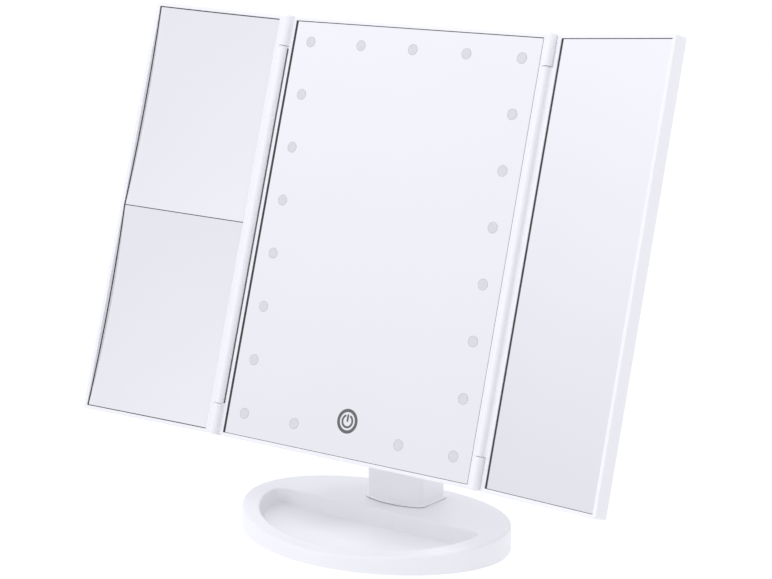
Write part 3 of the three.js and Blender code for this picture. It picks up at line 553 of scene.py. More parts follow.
BY_SLOT = {
    "white_plastic": surface(
        "white_plastic", (0.85, 0.852, 0.872), (0.865, 0.867, 0.885),
        roughness=(0.3, 0.42), scale=28, grain=0.12),
    "mirror_glass": surface(
        "mirror_glass", (0.918, 0.918, 0.938), (0.926, 0.926, 0.945),
        roughness=(0.0, 0.035), scale=16, Metallic=1.0),
    "frosted_plastic": surface(
        "frosted_window", (0.645, 0.65, 0.668), (0.675, 0.68, 0.698),
        roughness=(0.5, 0.65), scale=500, grain=0.2, grain_scale=4000),
    "rubber": surface(
        "grey_rubber", (0.30, 0.30, 0.32), (0.36, 0.36, 0.38),
        roughness=(0.75, 0.9), scale=300, grain=0.6, grain_scale=2500),
    "steel": surface(
        "zinc_steel", (0.55, 0.56, 0.58), (0.66, 0.67, 0.69),
        roughness=(0.22, 0.38), scale=400, grain=0.3, grain_scale=1800, Metallic=1.0),
    "contact_metal": surface(
        "nickel_plate", (0.74, 0.75, 0.77), (0.8, 0.81, 0.83),
        roughness=(0.14, 0.26), scale=300, grain=0.15, grain_scale=2000, Metallic=1.0),
    "white_board": surface(
        "white_board", (0.84, 0.85, 0.82), (0.88, 0.88, 0.86),
        roughness=(0.4, 0.5), scale=200, grain=0.15),
    "green_board": surface(
        "green_board", (0.045, 0.19, 0.085), (0.06, 0.25, 0.11),
        roughness=(0.35, 0.45), scale=250, grain=0.2),
    "nylon": surface(
        "nylon", (0.77, 0.77, 0.75), (0.82, 0.82, 0.8),
        roughness=(0.45, 0.55), scale=200, grain=0.1, grain_scale=2500),
    "black_plastic": surface(
        "black_plastic", (0.024, 0.024, 0.027), (0.036, 0.036, 0.039),
        roughness=(0.42, 0.55), scale=250, grain=0.3),
    "red_plastic": surface(
        "red_plastic", (0.46, 0.04, 0.032), (0.54, 0.06, 0.048),
        roughness=(0.4, 0.5), scale=300, grain=0.1),
    "cell_jacket": surface(
        "cell_jacket", (0.1, 0.14, 0.18), (0.13, 0.17, 0.22),
        roughness=(0.22, 0.32), scale=150, grain=0.05),
}

# ---------------------------------------------------------------- camera, light and floor

CAMERA_AT = (0.663059, -0.905610, 0.384100)
CAMERA_TARGET = (0.007767, 0.0, 0.181096)
CAMERA_LENS = 100.587
CAMERA_SHIFT_Y = -0.10618
SKY_LEVEL = 0.901
SKY_SLOPE = (0.118, 0.0, -0.112)
SKY_UPPER_LEFT = -1.163
SKY_COLOUR = (0.95, 0.95, 1.0)
FLOOR_REACH = 30.0
FLOOR_SHADES = (0.18, 0.2)
FLOOR_GLOW = 0.9
FLOOR_GLOW_COLOUR = (0.96, 0.96, 1.0)

# Round soft lamps: where each stands, its diameter and its power in watts.
LAMPS = {
    "top_light": ((0, -0.5, 1.8), 1.2, 6.8),
    "front_light": ((-0.6, -1.5, 0.6), 0.8, 2.4),
    "right_light": ((1.3, -0.2, 0.9), 0.8, 0.8),
    "back_light": ((1.0, 0.5, 1.4), 0.8, 4.8),
}
LAMP_TARGET = (0, 0, 0.08)


def aimed(at, target):
    """The turn that points a camera or a lamp at a target."""
    return (Vector(target) - Vector(at)).to_track_quat("-Z", "Y").to_euler()


def add_camera():
    data = bpy.data.cameras.new("camera")
    data.lens = CAMERA_LENS
    data.sensor_width = 36
    data.shift_y = CAMERA_SHIFT_Y
    data.clip_start = 0.01
    data.clip_end = 100
    camera = in_scene("camera", data)
    camera.location = CAMERA_AT
    camera.rotation_euler = aimed(CAMERA_AT, CAMERA_TARGET)
    bpy.context.scene.camera = camera


def computed(tree, kind, operation, *inputs):
    """A maths node's output. Each input is a value or another node's output."""
    made = tree.nodes.new(kind)
    made.operation = operation
    for socket, value in zip(made.inputs, inputs):
        if isinstance(value, bpy.types.NodeSocket):
            tree.links.new(value, socket)
        else:
            socket.default_value = value
    return made.outputs["Value"]


def add_world():
    """A white studio whose light changes a little across it and is strongest in the upper left."""
    world = bpy.data.worlds.new("studio")
    bpy.context.scene.world = world
    world.use_nodes = True
    tree = world.node_tree
    towards = tree.nodes.new("ShaderNodeTexCoord").outputs["Generated"]
    parts = tree.nodes.new("ShaderNodeSeparateXYZ")
    tree.links.new(towards, parts.inputs[0])
    slope = computed(tree, "ShaderNodeVectorMath", "DOT_PRODUCT", towards, SKY_SLOPE)
    corner = computed(tree, "ShaderNodeMath", "MULTIPLY", parts.outputs["X"], parts.outputs["Z"])
    uneven = computed(tree, "ShaderNodeMath", "MULTIPLY_ADD", corner, SKY_UPPER_LEFT, slope)
    light = computed(tree, "ShaderNodeMath", "ADD", uneven, SKY_LEVEL)
    background = tree.nodes["Background"]
    tree.links.new(light, background.inputs["Strength"])
    background.inputs["Color"].default_value = (*SKY_COLOUR, 1)


def add_light(name, at, size, power):
    """A lamp that lights the object, but isn't seen in its mirrors."""
    data = bpy.data.lights.new(name, "AREA")
    data.shape = "DISK"
    data.size = size
    data.energy = power
    data.color = SKY_COLOUR
    lamp = in_scene(name, data)
    lamp.location = at
    lamp.rotation_euler = aimed(at, LAMP_TARGET)
    lamp.visible_glossy = False


def floor_finish():
    """A matt white floor with a little light of its own, so that it stays white far out."""
    finish = bpy.data.materials.new("pale_floor")
    finish.use_nodes = True
    tree = finish.node_tree
    shader = tree.nodes["Principled BSDF"]
    shader.inputs["Roughness"].default_value = 0.9
    shader.inputs["Specular IOR Level"].default_value = 0.0
    shader.inputs["Emission Color"].default_value = (*FLOOR_GLOW_COLOUR, 1)
    shader.inputs["Emission Strength"].default_value = FLOOR_GLOW
    tint = tree.nodes.new("ShaderNodeValToRGB")
    for element, shade in zip(tint.color_ramp.elements, FLOOR_SHADES):
        element.color = (shade, shade, shade, 1)
    tree.links.new(noise(tree, 2, 2), tint.inputs["Fac"])
    tree.links.new(tint.outputs["Color"], shader.inputs["Base Color"])
    return finish


def add_floor():
    mesh = bpy.data.meshes.new("floor")
    corners = [(-1, -1, 0), (1, -1, 0), (1, 1, 0), (-1, 1, 0)]
    mesh.from_pydata([Vector(corner) * FLOOR_REACH for corner in corners], [], [(0, 1, 2, 3)])
    mesh.materials.append(floor_finish())
    floor = in_scene("floor", mesh)


# ---------------------------------------------------------------- base


def base_top(y):
    return BASE_HEIGHT + BASE_RISE * y - BASE_ARCH * y * y


def base_reach(direction, inset):
    """Distance from the tray's middle to the base's outline, drawn in, along a direction."""
    a, b = BASE_HALF_WIDTH - inset, BASE_HALF_DEPTH - inset
    low, high = 0.0, 200.0
    for _ in range(40):
        reach = (low + high) / 2
        x = abs(direction[0] * reach) / a
        y = abs(TRAY_MIDDLE + direction[1] * reach) / b
        if x ** BASE_POWER + y ** BASE_POWER < 1:
            low = reach
        else:
            high = reach
    return low


def tray_outline(inset):
    """The tray's D outline: an ellipse in front, a straight back and rounded corners."""
    a, b, back = TRAY_HALF_WIDTH - inset, TRAY_HALF_DEPTH - inset, TRAY_BACK - inset
    radius = TRAY_CORNER

    def normal(t):
        return Vector((math.cos(t) / a, math.sin(t) / b)).normalized()

    low, high = -math.pi / 2, 0.2
    for _ in range(40):
        t = (low + high) / 2
        if b * math.sin(t) - radius * normal(t).y < back - radius:
            low = t
        else:
            high = t
    steps = 64
    turns = [-math.pi / 2 + (low + math.pi / 2) * i / steps for i in range(steps + 1)]
    half = [(a * math.cos(t), b * math.sin(t)) for t in turns]
    centre = (a * math.cos(low) - radius * normal(low).x, back - radius)
    start = math.degrees(math.atan2(normal(low).y, normal(low).x))
    half += arc(centre, radius, start, 90, 12)[1:]
    half += [(centre[0] * (1 - i / 16), back) for i in range(1, 17)]
    return half + [(-x, y) for x, y in half[-2:0:-1]]


def outer_ring(inset, height):
    """A ring round the base whose points lie in the same directions as the tray's."""
    made = []
    for x, y in tray_outline(0):
        direction = Vector((x, y - TRAY_MIDDLE)).normalized()
        reach = base_reach(direction, inset)
        px, py = direction.x * reach, TRAY_MIDDLE + direction.y * reach
        made.append((px, py, height(py)))
    return made


def tray_ring(inset, height):
    return [(x, y, height(y)) for x, y in tray_outline(inset)]


def base_shell():
    """One skin from the tray's floor over its edge and the top, round the rim and back inside."""
    wall_inset = (BASE_HEIGHT - TRAY_FLOOR) * TRAY_SLOPE
    rings = []
    for share in (0.25, 0.5, 0.75):
        rings.append([(x * share, TRAY_MIDDLE + (y - TRAY_MIDDLE) * share, TRAY_FLOOR)
                      for x, y in tray_outline(wall_inset + TRAY_FILLET)])
    for s, c in quarter(6):
        rise = TRAY_FILLET * (1 - c)
        inset = wall_inset - rise * TRAY_SLOPE + TRAY_FILLET * (1 - s)
        rings.append(tray_ring(inset, lambda y, rise=rise: TRAY_FLOOR + rise))
    for s, c in quarter(5):
        drop = TRAY_EDGE * (1 - s)
        inset = drop * TRAY_SLOPE - TRAY_EDGE * (1 - c)
        rings.append(tray_ring(inset, lambda y, drop=drop: base_top(y) - drop))
    inner, outer = tray_ring(-TRAY_EDGE, base_top), outer_ring(BASE_EDGE, base_top)
    for i in range(1, 8):
        share = i / 8
        between = [Vector(a).lerp(Vector(b), share) for a, b in zip(inner, outer)]
        rings.append([(p.x, p.y, base_top(p.y)) for p in between])
    for s, c in quarter(6):
        drop = BASE_EDGE * (1 - c)
        rings.append(outer_ring(BASE_EDGE * (1 - s), lambda y, drop=drop: base_top(y) - drop))
    for s, c in quarter(4):
        rise = SKIRT + SKIRT_EDGE * (1 - s)
        rings.append(outer_ring(SKIRT_EDGE * (1 - c), lambda y, rise=rise: rise))
    rings.append(outer_ring(HOLLOW_INSET, lambda y: SKIRT))
    rings.append(outer_ring(HOLLOW_INSET, lambda y: base_top(y) - WALL))
    rings.append(tray_ring(-WALL, lambda y: base_top(y) - WALL))
    rings.append(tray_ring(wall_inset - WALL, lambda y: TRAY_FLOOR - WALL + 0.2))
    return solid(rings, at_world)


# ---------------------------------------------------------------- neck


def neck_outline(half_width, front, rear, corner):
    bow = NECK_BOW_RADIUS - corner
    across = half_width - corner
    front_centre = front + NECK_BOW_RADIUS - math.sqrt(bow * bow - across * across)
    meets = math.degrees(math.asin(across / bow)) - 90
    half = arc((0, front + NECK_BOW_RADIUS), NECK_BOW_RADIUS, -90, meets, 12)
    half += arc((across, front_centre), corner, meets, 0, 10)[1:]
    half += arc((across - NECK_TAPER, rear - corner), corner, 0, 90, 10)
    half += [(0, rear)]
    return half + [(-x, y) for x, y in half[-2:0:-1]]


def upright_ring(grow, height):
    outline = neck_outline(NECK_HALF_WIDTH + grow, NECK_FRONT - grow, NECK_REAR + grow, NECK_CORNER)
    return [(x, y, height(y)) for x, y in outline]


def leaning_ring(share):
    """A section square to the bend from the column to the tilt hinge."""
    start = Vector((NECK_MIDDLE, NECK_STRAIGHT_TO))
    knee = Vector((NECK_MIDDLE, NECK_BEND_HEIGHT))
    end = Vector((tilt_axis.y, tilt_axis.z))
    centre = start.lerp(knee, share).lerp(knee.lerp(end, share), share)
    run = (knee.lerp(end, share) - start.lerp(knee, share)).normalized()
    half_depth = (NECK_REAR - NECK_FRONT) / 2 * (1 - share) + TILT_RADIUS * share
    corner = NECK_CORNER * (1 - share) + NECK_TOP_CORNER * share
    outline = neck_outline(NECK_HALF_WIDTH, -half_depth, half_depth, corner)
    return [(x, centre.x + t * run.y, centre.y - t * run.x) for x, t in outline]


def neck():
    """The column and its bend to the tilt hinge, with a slot for the head's lug."""
    rings = [upright_ring(NECK_FOOT_FLARE, lambda y: base_top(y) + GAP)]
    for s, c in quarter(8):
        grow = NECK_FOOT_FLARE * (1 - s)
        rise = GAP + NECK_FOOT_EDGE + NECK_FOOT_FLARE * (1 - c)
        rings.append(upright_ring(grow, lambda y, rise=rise: base_top(y) + rise))
    rings += [leaning_ring(i / 12) for i in range(13)]
    y, z = centre = (tilt_axis.y, tilt_axis.z)
    width, slot = (-NECK_HALF_WIDTH, NECK_HALF_WIDTH), (-SLOT_HALF_WIDTH, SLOT_HALF_WIDTH)
    clear, far = TILT_RADIUS + TILT_CLEARANCE, NECK_CUTTER_REACH
    knuckle = rod("x", TILT_RADIUS, width, centre, at_world, 0.6, KNUCKLE_STEPS)
    return cut(
        joined(solid(rings, at_world), knuckle),
        rod("x", clear, slot, centre, at_world, 0, KNUCKLE_STEPS),
        block(slot, (y - far, y + clear), (z, z + far), at_world),
        block(slot, (y - far, y), (z - SLOT_DEPTH, z + 1), at_world),
        rod("x", PIN_HOLE, (-far, far), centre, at_world, 0, HOLE_STEPS),
    )


def neck_seam_shade():
    """A dark ring under the neck's foot: painted shade in the seam."""
    rings = []
    for z in (SEAM_SHADE_PLAY, GAP - SEAM_SHADE_PLAY):
        rings.append(upright_ring(NECK_FOOT_FLARE - SEAM_SHADE_INSET, lambda y, z=z: base_top(y) + z))
    return solid(rings, at_world)


def screw(at, face, place, length, outward):
    """A pan-head screw with a cross recess. Outward is +1 if its head faces up the third axis."""
    profile = [(max(SCREW_HEAD * s, 0.05), SCREW_DOME * (1 - c)) for s, c in quarter(5)]
    profile += [(SCREW_HEAD, SCREW_HEAD_HEIGHT), (SCREW_SHANK, SCREW_HEAD_HEIGHT)]
    profile += [(SCREW_SHANK, length - 1), (0.2, length)]
    rings = [level(circle(at, r), face - outward * down) for r, down in profile]
    bars = []
    for wide, tall in (SCREW_RECESS, SCREW_RECESS[::-1]):
        bars.append(block((at[0] - wide, at[0] + wide), (at[1] - tall, at[1] + tall),
                          (face + outward, face - outward * SCREW_RECESS_DEPTH), place))
    return cut(solid(rings, place), *bars)


def box_of(node):
    """A node's lowest and highest corners in millimetres, and the middle of its X and Y."""
    low, high = (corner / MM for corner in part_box(node))
    return low, high, ((low.x + high.x) / 2, (low.y + high.y) / 2)


def add_base():
    piece(base_shell(), "base_body", "base", "white_plastic", "base_shell")
    piece(neck(), "neck_column", "base", "white_plastic", "neck")
    # The dark ring paints the shade in the seam under the neck's foot.
    piece(neck_seam_shade(), "neck_seam_shade", "base", "black_plastic", finish=edge_and_shade_black)
    for i in range(1, 5):
        low, high, centre = box_of(f"rubber_foot_{i}")
        foot = rod("w", (high.x - low.x) / 2, (0, high.z), centre, at_world, FOOT_ROUND)
        piece(foot, f"foot_pad_{i}", "base", "rubber", f"rubber_foot_{i}")
        low, high, centre = box_of(f"base_screw_{i}")
        made = screw(centre, low.z, at_world, high.z - low.z, -1)
        piece(made, f"plate_screw_{i}", "base", "steel", f"base_screw_{i}")
    axis = (tilt_axis.y, tilt_axis.z)
    for name in ("right", "left"):
        low, high, _ = box_of(f"tilt_cap_{name}")
        cap = rod("x", (high.z - low.z) / 2, (low.x, high.x), axis, at_world, CAP_ROUND)
        piece(cap, f"hinge_cap_{name}", "base", "white_plastic", f"tilt_cap_{name}")


# ---------------------------------------------------------------- head


def frame_ring(outer, inner, back, rim, shelf, shelf_in, place):
    """A rim round a glass, with a shelf under it. Outer and inner are rectangles as (xs, ys)."""

    def outer_at(inset, height):
        xs, ys = (shrunk(span, inset) for span in outer)
        return level(rounded_rectangle(xs, ys, max(CORNER - inset, 0.2)), height)

    def inner_at(grow, height):
        xs, ys = (shrunk(span, -grow) for span in inner)
        return level(rounded_rectangle(xs, ys, GLASS_CORNER + max(grow, 0)), height)

    rings = [outer_at(0, back)]
    for s, c in quarter(6):
        rings.append(outer_at(RIM_OUTER_ROUND * (1 - c), rim - RIM_OUTER_ROUND * (1 - s)))
    for s, c in quarter(4):
        rings.append(inner_at(RIM_INNER_ROUND * (1 - s), rim - RIM_INNER_ROUND * (1 - c)))
    rings += [inner_at(0, shelf), inner_at(-shelf_in, shelf), inner_at(-shelf_in, back)]
    return solid(rings, place, closed=True)


def filleted(radius, fillet, rim, steps):
    """A hinge cylinder's section with a fillet out to the rim, and how far the fillet reaches."""
    reach = math.sqrt((radius + fillet) ** 2 - (fillet + rim) ** 2)
    meets = math.degrees(math.atan2(fillet + rim, reach))
    points = arc((reach, rim + fillet), fillet, 270, 180 + meets, steps)
    return points + arc((0, 0), radius, meets, 270, 40)[1:], reach


def ear_outline(side):
    """A hinge ear's section, with a root beside the frame."""
    drop = RIM_PROUD - HINGE_W
    points, reach = filleted(EAR_RADIUS, EAR_FILLET, drop, 6)
    root_x, root_z = EAR_ROOT
    points += [(0, root_z), (root_x, root_z), (root_x, drop - 0.05), (reach, drop - 0.05)]
    return [(side * (HINGE_X - x), HINGE_W + z) for x, z in points]


def anticlockwise(points):
    """The outline as it is, or turned round if it runs clockwise."""
    area = sum(a[0] * b[1] - b[0] * a[1] for a, b in zip(points, points[1:] + points[:1]))
    return points if area > 0 else points[::-1]


def centre_frame():
    outer = ((-HEAD_HALF_WIDTH, HEAD_HALF_WIDTH), (HEAD_LOW, HEAD_HIGH))
    inner = ((-GLASS_HALF_WIDTH - EDGE_SKIN, GLASS_HALF_WIDTH + EDGE_SKIN),
             (GLASS_BOTTOM - EDGE_SKIN, GLASS_TOP + EDGE_SKIN))
    ring = frame_ring(outer, inner, FRAME_BACK, RIM_PROUD, SHELF, SHELF_IN, at_head)
    ears = []
    for side in (-1, 1):
        outline = anticlockwise(ear_outline(side))
        ears.append(prism(outline, (TOP_SPLIT, HEAD_HIGH), at_head, round_high=EAR_END_ROUND))
        ears.append(prism(outline, (HEAD_LOW, BOTTOM_SPLIT), at_head, round_low=EAR_END_ROUND))
    return joined(ring, *ears)


def hollow(x, y, xs, ys, radius):
    """How far a hollowed glass lies below the plane of its corners. Radius 0 is a flat glass."""
    if not radius:
        return 0.0
    corner = ((xs[1] - xs[0]) ** 2 + (ys[1] - ys[0]) ** 2) / 4
    reach = (x - sum(xs) / 2) ** 2 + (y - sum(ys) / 2) ** 2
    return (corner - reach) / (2 * radius)


def grid_lines(span, cells):
    """Values across a glass: its edge, then evenly from one bevel to the other, then its edge."""
    low, high = shrunk(span, BEVEL)
    return [span[0]] + [low + (high - low) * i / cells for i in range(cells + 1)] + [span[1]]


def glass(xs, ys, face, thickness, place, radius=0.0):
    """A flat or hollowed glass with a bevelled edge."""
    cells = BENT_CELLS if radius else 1
    columns, rows = grid_lines(xs, cells), grid_lines(ys, cells)
    front = []
    for x in columns:
        for y in rows:
            edge = min(x - xs[0], xs[1] - x)
            drop = BEVEL_DROP * max(0.0, 1 - edge / BEVEL)
            front.append((x, y, face - hollow(x, y, xs, ys, radius) - drop))
    back = [(x, y, face - hollow(x, y, xs, ys, radius) - thickness) for x, y, _ in front]
    size, row, last = len(front), len(rows), len(columns) - 1
    faces = []
    for i in range(last):
        for j in range(row - 1):
            quad = (i * row + j, (i + 1) * row + j, (i + 1) * row + j + 1, i * row + j + 1)
            faces += [quad, tuple(k + size for k in reversed(quad))]
    border = [i * row for i in range(last + 1)] + [last * row + j for j in range(1, row)]
    border += [i * row + row - 1 for i in range(last - 1, -1, -1)] + list(range(row - 2, 0, -1))
    for a, b in zip(border, border[1:] + border[:1]):
        faces.append((a, b, b + size, a + size))
    return solid_of(front + back, faces, place)


def rectangle_walk(xs, ys, cells=24):
    """Points all round a rectangle, several on each side."""
    corners = [(xs[0], ys[0]), (xs[1], ys[0]), (xs[1], ys[1]), (xs[0], ys[1])]
    walk = []
    for a, b in zip(corners, corners[1:] + corners[:1]):
        walk += [tuple(Vector(a).lerp(Vector(b), i / cells)) for i in range(cells)]
    return walk


def edge_and_shade_liner(xs, ys, face, high, depth, place):
    """The black lining round the glasses of a panel, on the rim's inner wall and the gap's floor: the glasses'
    black edges, and painted shade in the gap.
    It follows the glasses down by the depth at each point."""

    def ring(inset, height):
        inside = max(inset, 0)
        walk = rectangle_walk(shrunk(xs, inset), shrunk(ys, inset))
        on_glass = rectangle_walk(shrunk(xs, inside), shrunk(ys, inside))
        return [(x, y, face - depth(*point) + height) for (x, y), point in zip(walk, on_glass)]

    skin = SINK - EDGE_SKIN
    floor, low = (-BEVEL_DROP - down for down in EDGE_DEPTHS)
    section = [(skin, high), (0, high), (0, floor), (EDGE_UNDER, floor), (EDGE_UNDER, low), (skin, low)]
    return solid([ring(inset, height) for inset, height in section], place, closed=True)


def split_filler(depth, place):
    """The black strip between two stacked glasses."""
    half = SPLIT_GAP - SINK
    low, high = SPLIT_FILLER
    corners = [(-half, low), (half, low), (half, high), (-half, high)]
    rings = []
    for x in grid_lines((WING_GLASS_START, WING_GLASS_END), BENT_CELLS)[1:-1]:
        face = WING_GLASS - depth(x, GLASS_SPLIT - SPLIT_GAP)
        rings.append([(x, GLASS_SPLIT + v, face + z) for v, z in corners])
    return solid(rings, place)


def light_places():
    """Middles of the light windows: five across the top, down both sides, and two at the bottom."""
    places = [(column, 0) for column in range(-2, 3)]
    for row in range(1, LIGHT_ROWS_BELOW + 1):
        places += [(-2, row), (2, row)]
    places += [(-1, LIGHT_ROWS_BELOW), (1, LIGHT_ROWS_BELOW)]
    return [(column * LIGHT_PITCH_X, -row * LIGHT_PITCH_Y) for column, row in places]


def light_windows():
    heights = (LIGHT_SUNK, LIGHT_PROUD)
    return gathered([rod("w", LIGHT_RADIUS, heights, at, at_head, 0.05, 48, 2) for at in light_places()])


def light_outlines():
    """The thin darker ring at the edge of each light window."""
    heights = (LIGHT_SUNK, LIGHT_PROUD + 0.01)
    radius = LIGHT_RADIUS - LIGHT_OUTLINE / 2
    return gathered([stroke(at, radius, LIGHT_OUTLINE, 0, 360, heights, 48) for at in light_places()])


def stroke(centre, radius, width, start, end, heights, steps=60):
    """A flat printed arc, with round ends where it isn't a whole ring."""
    outside = arc(centre, radius + width / 2, start, end, steps)
    inside = arc(centre, radius - width / 2, start, end, steps)
    if abs(end - start) >= 360:
        low, high = heights
        rings = [level(outside[:-1], low), level(outside[:-1], high),
                 level(inside[:-1], high), level(inside[:-1], low)]
        return solid(rings, at_head, closed=True)
    near, far = arc(centre, radius, start, end, 1)
    outline = outside + arc(far, width / 2, end, end + 180, 8)[1:-1] + inside[::-1]
    outline += arc(near, width / 2, start + 180, start + 360, 8)[1:-1]
    return solid([level(outline, h) for h in heights], at_head)


def touch_symbol():
    """A plain power sign in a ring."""
    at = (0, TOUCH_V)
    bar_x = (-TOUCH_BAR_HALF_WIDTH, TOUCH_BAR_HALF_WIDTH)
    bar = rounded_rectangle(bar_x, [TOUCH_V + end for end in TOUCH_BAR], TOUCH_BAR_ROUND, 5)
    return gathered([
        stroke(at, *TOUCH_RING, 0, 360, TOUCH_HEIGHTS, 96),
        stroke(at, *TOUCH_ARC, *TOUCH_ARC_ENDS, TOUCH_HEIGHTS),
        solid([level(bar, h) for h in TOUCH_HEIGHTS], at_head),
    ])


def door_spans(edges, clearance, top):
    half_width = BAY_HALF_WIDTH + DOOR_SIDE + edges + clearance
    return ((-half_width, half_width), (BAY_LOW - DOOR_BELOW - clearance, top))


def cover_body():
    """The back plate, the battery box and the lug of the tilt hinge."""
    head_x, lug_x = (-HEAD_HALF_WIDTH, HEAD_HALF_WIDTH), (-LUG_HALF_WIDTH, LUG_HALF_WIDTH)
    box_x, box_v = (-BOX_HALF_WIDTH, BOX_HALF_WIDTH), (BOX_LOW, BOX_HIGH)
    plate_w, box_w = (HEAD_BACK, FRAME_BACK), (BOX_BACK, FRAME_BACK - 0.2)
    plate = slab(head_x, (HEAD_LOW, HEAD_HIGH), plate_w, CORNER, at_head, round_low=COVER_ROUND)
    box = slab(box_x, box_v, box_w, BOX_CORNER, at_head, round_low=BOX_ROUND)
    knuckle = rod("x", TILT_RADIUS, lug_x, (TILT_V, TILT_W), at_head, 0.5, KNUCKLE_STEPS)
    root_v = shrunk((TILT_V - TILT_RADIUS, TILT_V + TILT_RADIUS), SINK)
    root = block(lug_x, root_v, (TILT_W, HEAD_BACK + 0.5), at_head)
    return joined(plate, box, root, knuckle)


def rear_cover():
    """The cover with its battery bay, door seat, switch window, socket hole and screw holes."""
    outside = BOX_BACK - OVERCUT
    door_back = BOX_BACK + DOOR_THICKNESS + GAP
    bay_x = (-BAY_HALF_WIDTH, BAY_HALF_WIDTH)
    switch_x, switch_v = ((mid - half, mid + half)
                          for mid, half in zip((-SWITCH_X, SWITCH_V), SWITCH_WINDOW))
    socket_v, socket_w = (shrunk(span, -GAP) for span in socket_spans())
    socket_x = (SOCKET_SPAN[0] - 1, BOX_HALF_WIDTH + OVERCUT)
    cutters = [
        block(bay_x, (BAY_LOW, BAY_HIGH), (outside, HEAD_BACK + 0.3), at_head),
        block(*door_spans(0, GAP, BOX_HIGH + OVERCUT), (outside, door_back), at_head),
        block(*door_spans(DOOR_EDGE, GAP, BOX_HIGH + OVERCUT), (BOX_BACK + DOOR_LIP, door_back), at_head),
        rod("x", PIN_HOLE, (-CUTTER_REACH, CUTTER_REACH), (TILT_V, TILT_W), at_head, 0, HOLE_STEPS),
        slab(switch_x, switch_v, (outside, BOX_BACK + 3), 0.6, at_head),
        slab(socket_v, socket_w, socket_x, 1.5, along("x", at_head)),
    ]
    for at in COVER_SCREWS:
        deep = (-CUTTER_REACH, HEAD_BACK + 1)
        cutters.append(rod("w", SCREW_HEAD + 0.2, deep, at, at_head, 0, HOLE_STEPS))
    return cut(cover_body(), *cutters)


def battery_door():
    """The sliding door with its guide edges and grip ridges."""
    back = (BOX_BACK, BOX_BACK + DOOR_THICKNESS)
    plate = slab(*door_spans(0, 0, DOOR_TOP), back, 0.3, at_head, round_low=0.25)
    edge_w = (BOX_BACK + DOOR_LIP + GAP, back[1] - SINK)
    edges = block(*door_spans(DOOR_EDGE, 0, DOOR_TOP - SINK), edge_w, at_head)
    grip_x, grip_w = (-GRIP_HALF_WIDTH, GRIP_HALF_WIDTH), (BOX_BACK - 0.5, BOX_BACK + 0.5)
    grips = []
    for i in range(GRIP_COUNT):
        low = GRIP_LOW + GRIP_PITCH * i
        grips.append(slab(grip_x, (low, low + 1), grip_w, 0.49, at_head, round_low=0.3))
    return joined(plate, edges, *grips)


def socket_spans():
    """The V and W spans of the charging socket."""
    return [(mid - half, mid + half) for mid, half in zip((SOCKET_V, SOCKET_W), SOCKET_HALF)]


def charging_socket():
    """A metal can, and the tongue inside it."""
    shell_v, shell_w = socket_spans()
    inner, outer = SOCKET_SPAN
    bore_v, bore_w = (shrunk(span, SOCKET_WALL) for span in (shell_v, shell_w))
    sideways = along("x", at_head)
    can = slab(shell_v, shell_w, SOCKET_SPAN, SOCKET_CORNER, sideways, round_high=0.15)
    bore = slab(bore_v, bore_w, (inner + 1, outer + 1), SOCKET_CORNER - SOCKET_WALL, sideways)
    tongue_w = (SOCKET_W - SOCKET_WALL, SOCKET_W + SOCKET_WALL)
    tongue_v, deep = shrunk(shell_v, SOCKET_CORNER), (inner + 0.5, outer - 1)
    return cut(can, bore), slab(tongue_v, tongue_w, deep, 0.2, sideways, round_high=0.1)


def switch_knob():
    """The main switch's slider, at the lower end of its window, with three ridges."""
    middle = SWITCH_V - SWITCH_TRAVEL / 2
    wide = (-SWITCH_X - KNOB_HALF_WIDTH, -SWITCH_X + KNOB_HALF_WIDTH)
    tall = (middle - KNOB_HALF_LENGTH, middle + KNOB_HALF_LENGTH)
    deep = (BOX_BACK - KNOB_PROUD, BOX_BACK + WALL + 0.9)
    body = slab(wide, tall, deep, 0.4, at_head, round_low=0.25)
    ridges = []
    ridge_x, ridge_w = shrunk(wide, 0.1), (BOX_BACK - KNOB_PROUD - 0.5, BOX_BACK)
    for step in (-1, 0, 1):
        at = middle + step * KNOB_RIDGE_PITCH
        ridges.append(slab(ridge_x, (at - 0.3, at + 0.3), ridge_w, 0.2, at_head, round_low=0.15))
    return joined(body, *ridges)


def dry_cell(index):
    """A cell's jacket and its metal ends. Every second cell stands on its head."""
    x = (index - 2.5) * CELL_PITCH
    turned = index % 2 == 0
    start, sign = (CELL_LOW + CELL_LENGTH, -1) if turned else (CELL_LOW, 1)
    jacket = [(CELL_RADIUS - 0.5, 0.25), (CELL_RADIUS, 0.6), (CELL_RADIUS, CELL_LENGTH - 1.8),
              (CELL_RADIUS - 0.5, CELL_LENGTH - 1.2)]
    ends = [(CELL_RADIUS - 0.6, 0), (CELL_RADIUS - 0.6, CELL_LENGTH - 1.25), (2.0, CELL_LENGTH - 1),
            (1.95, CELL_LENGTH - 0.15), (1.7, CELL_LENGTH)]
    made = []
    for profile in (jacket, ends):
        rings = [level(circle((x, CELL_W), r), start + sign * v) for r, v in profile]
        made.append(solid(rings, along("v", at_head)))
    return made


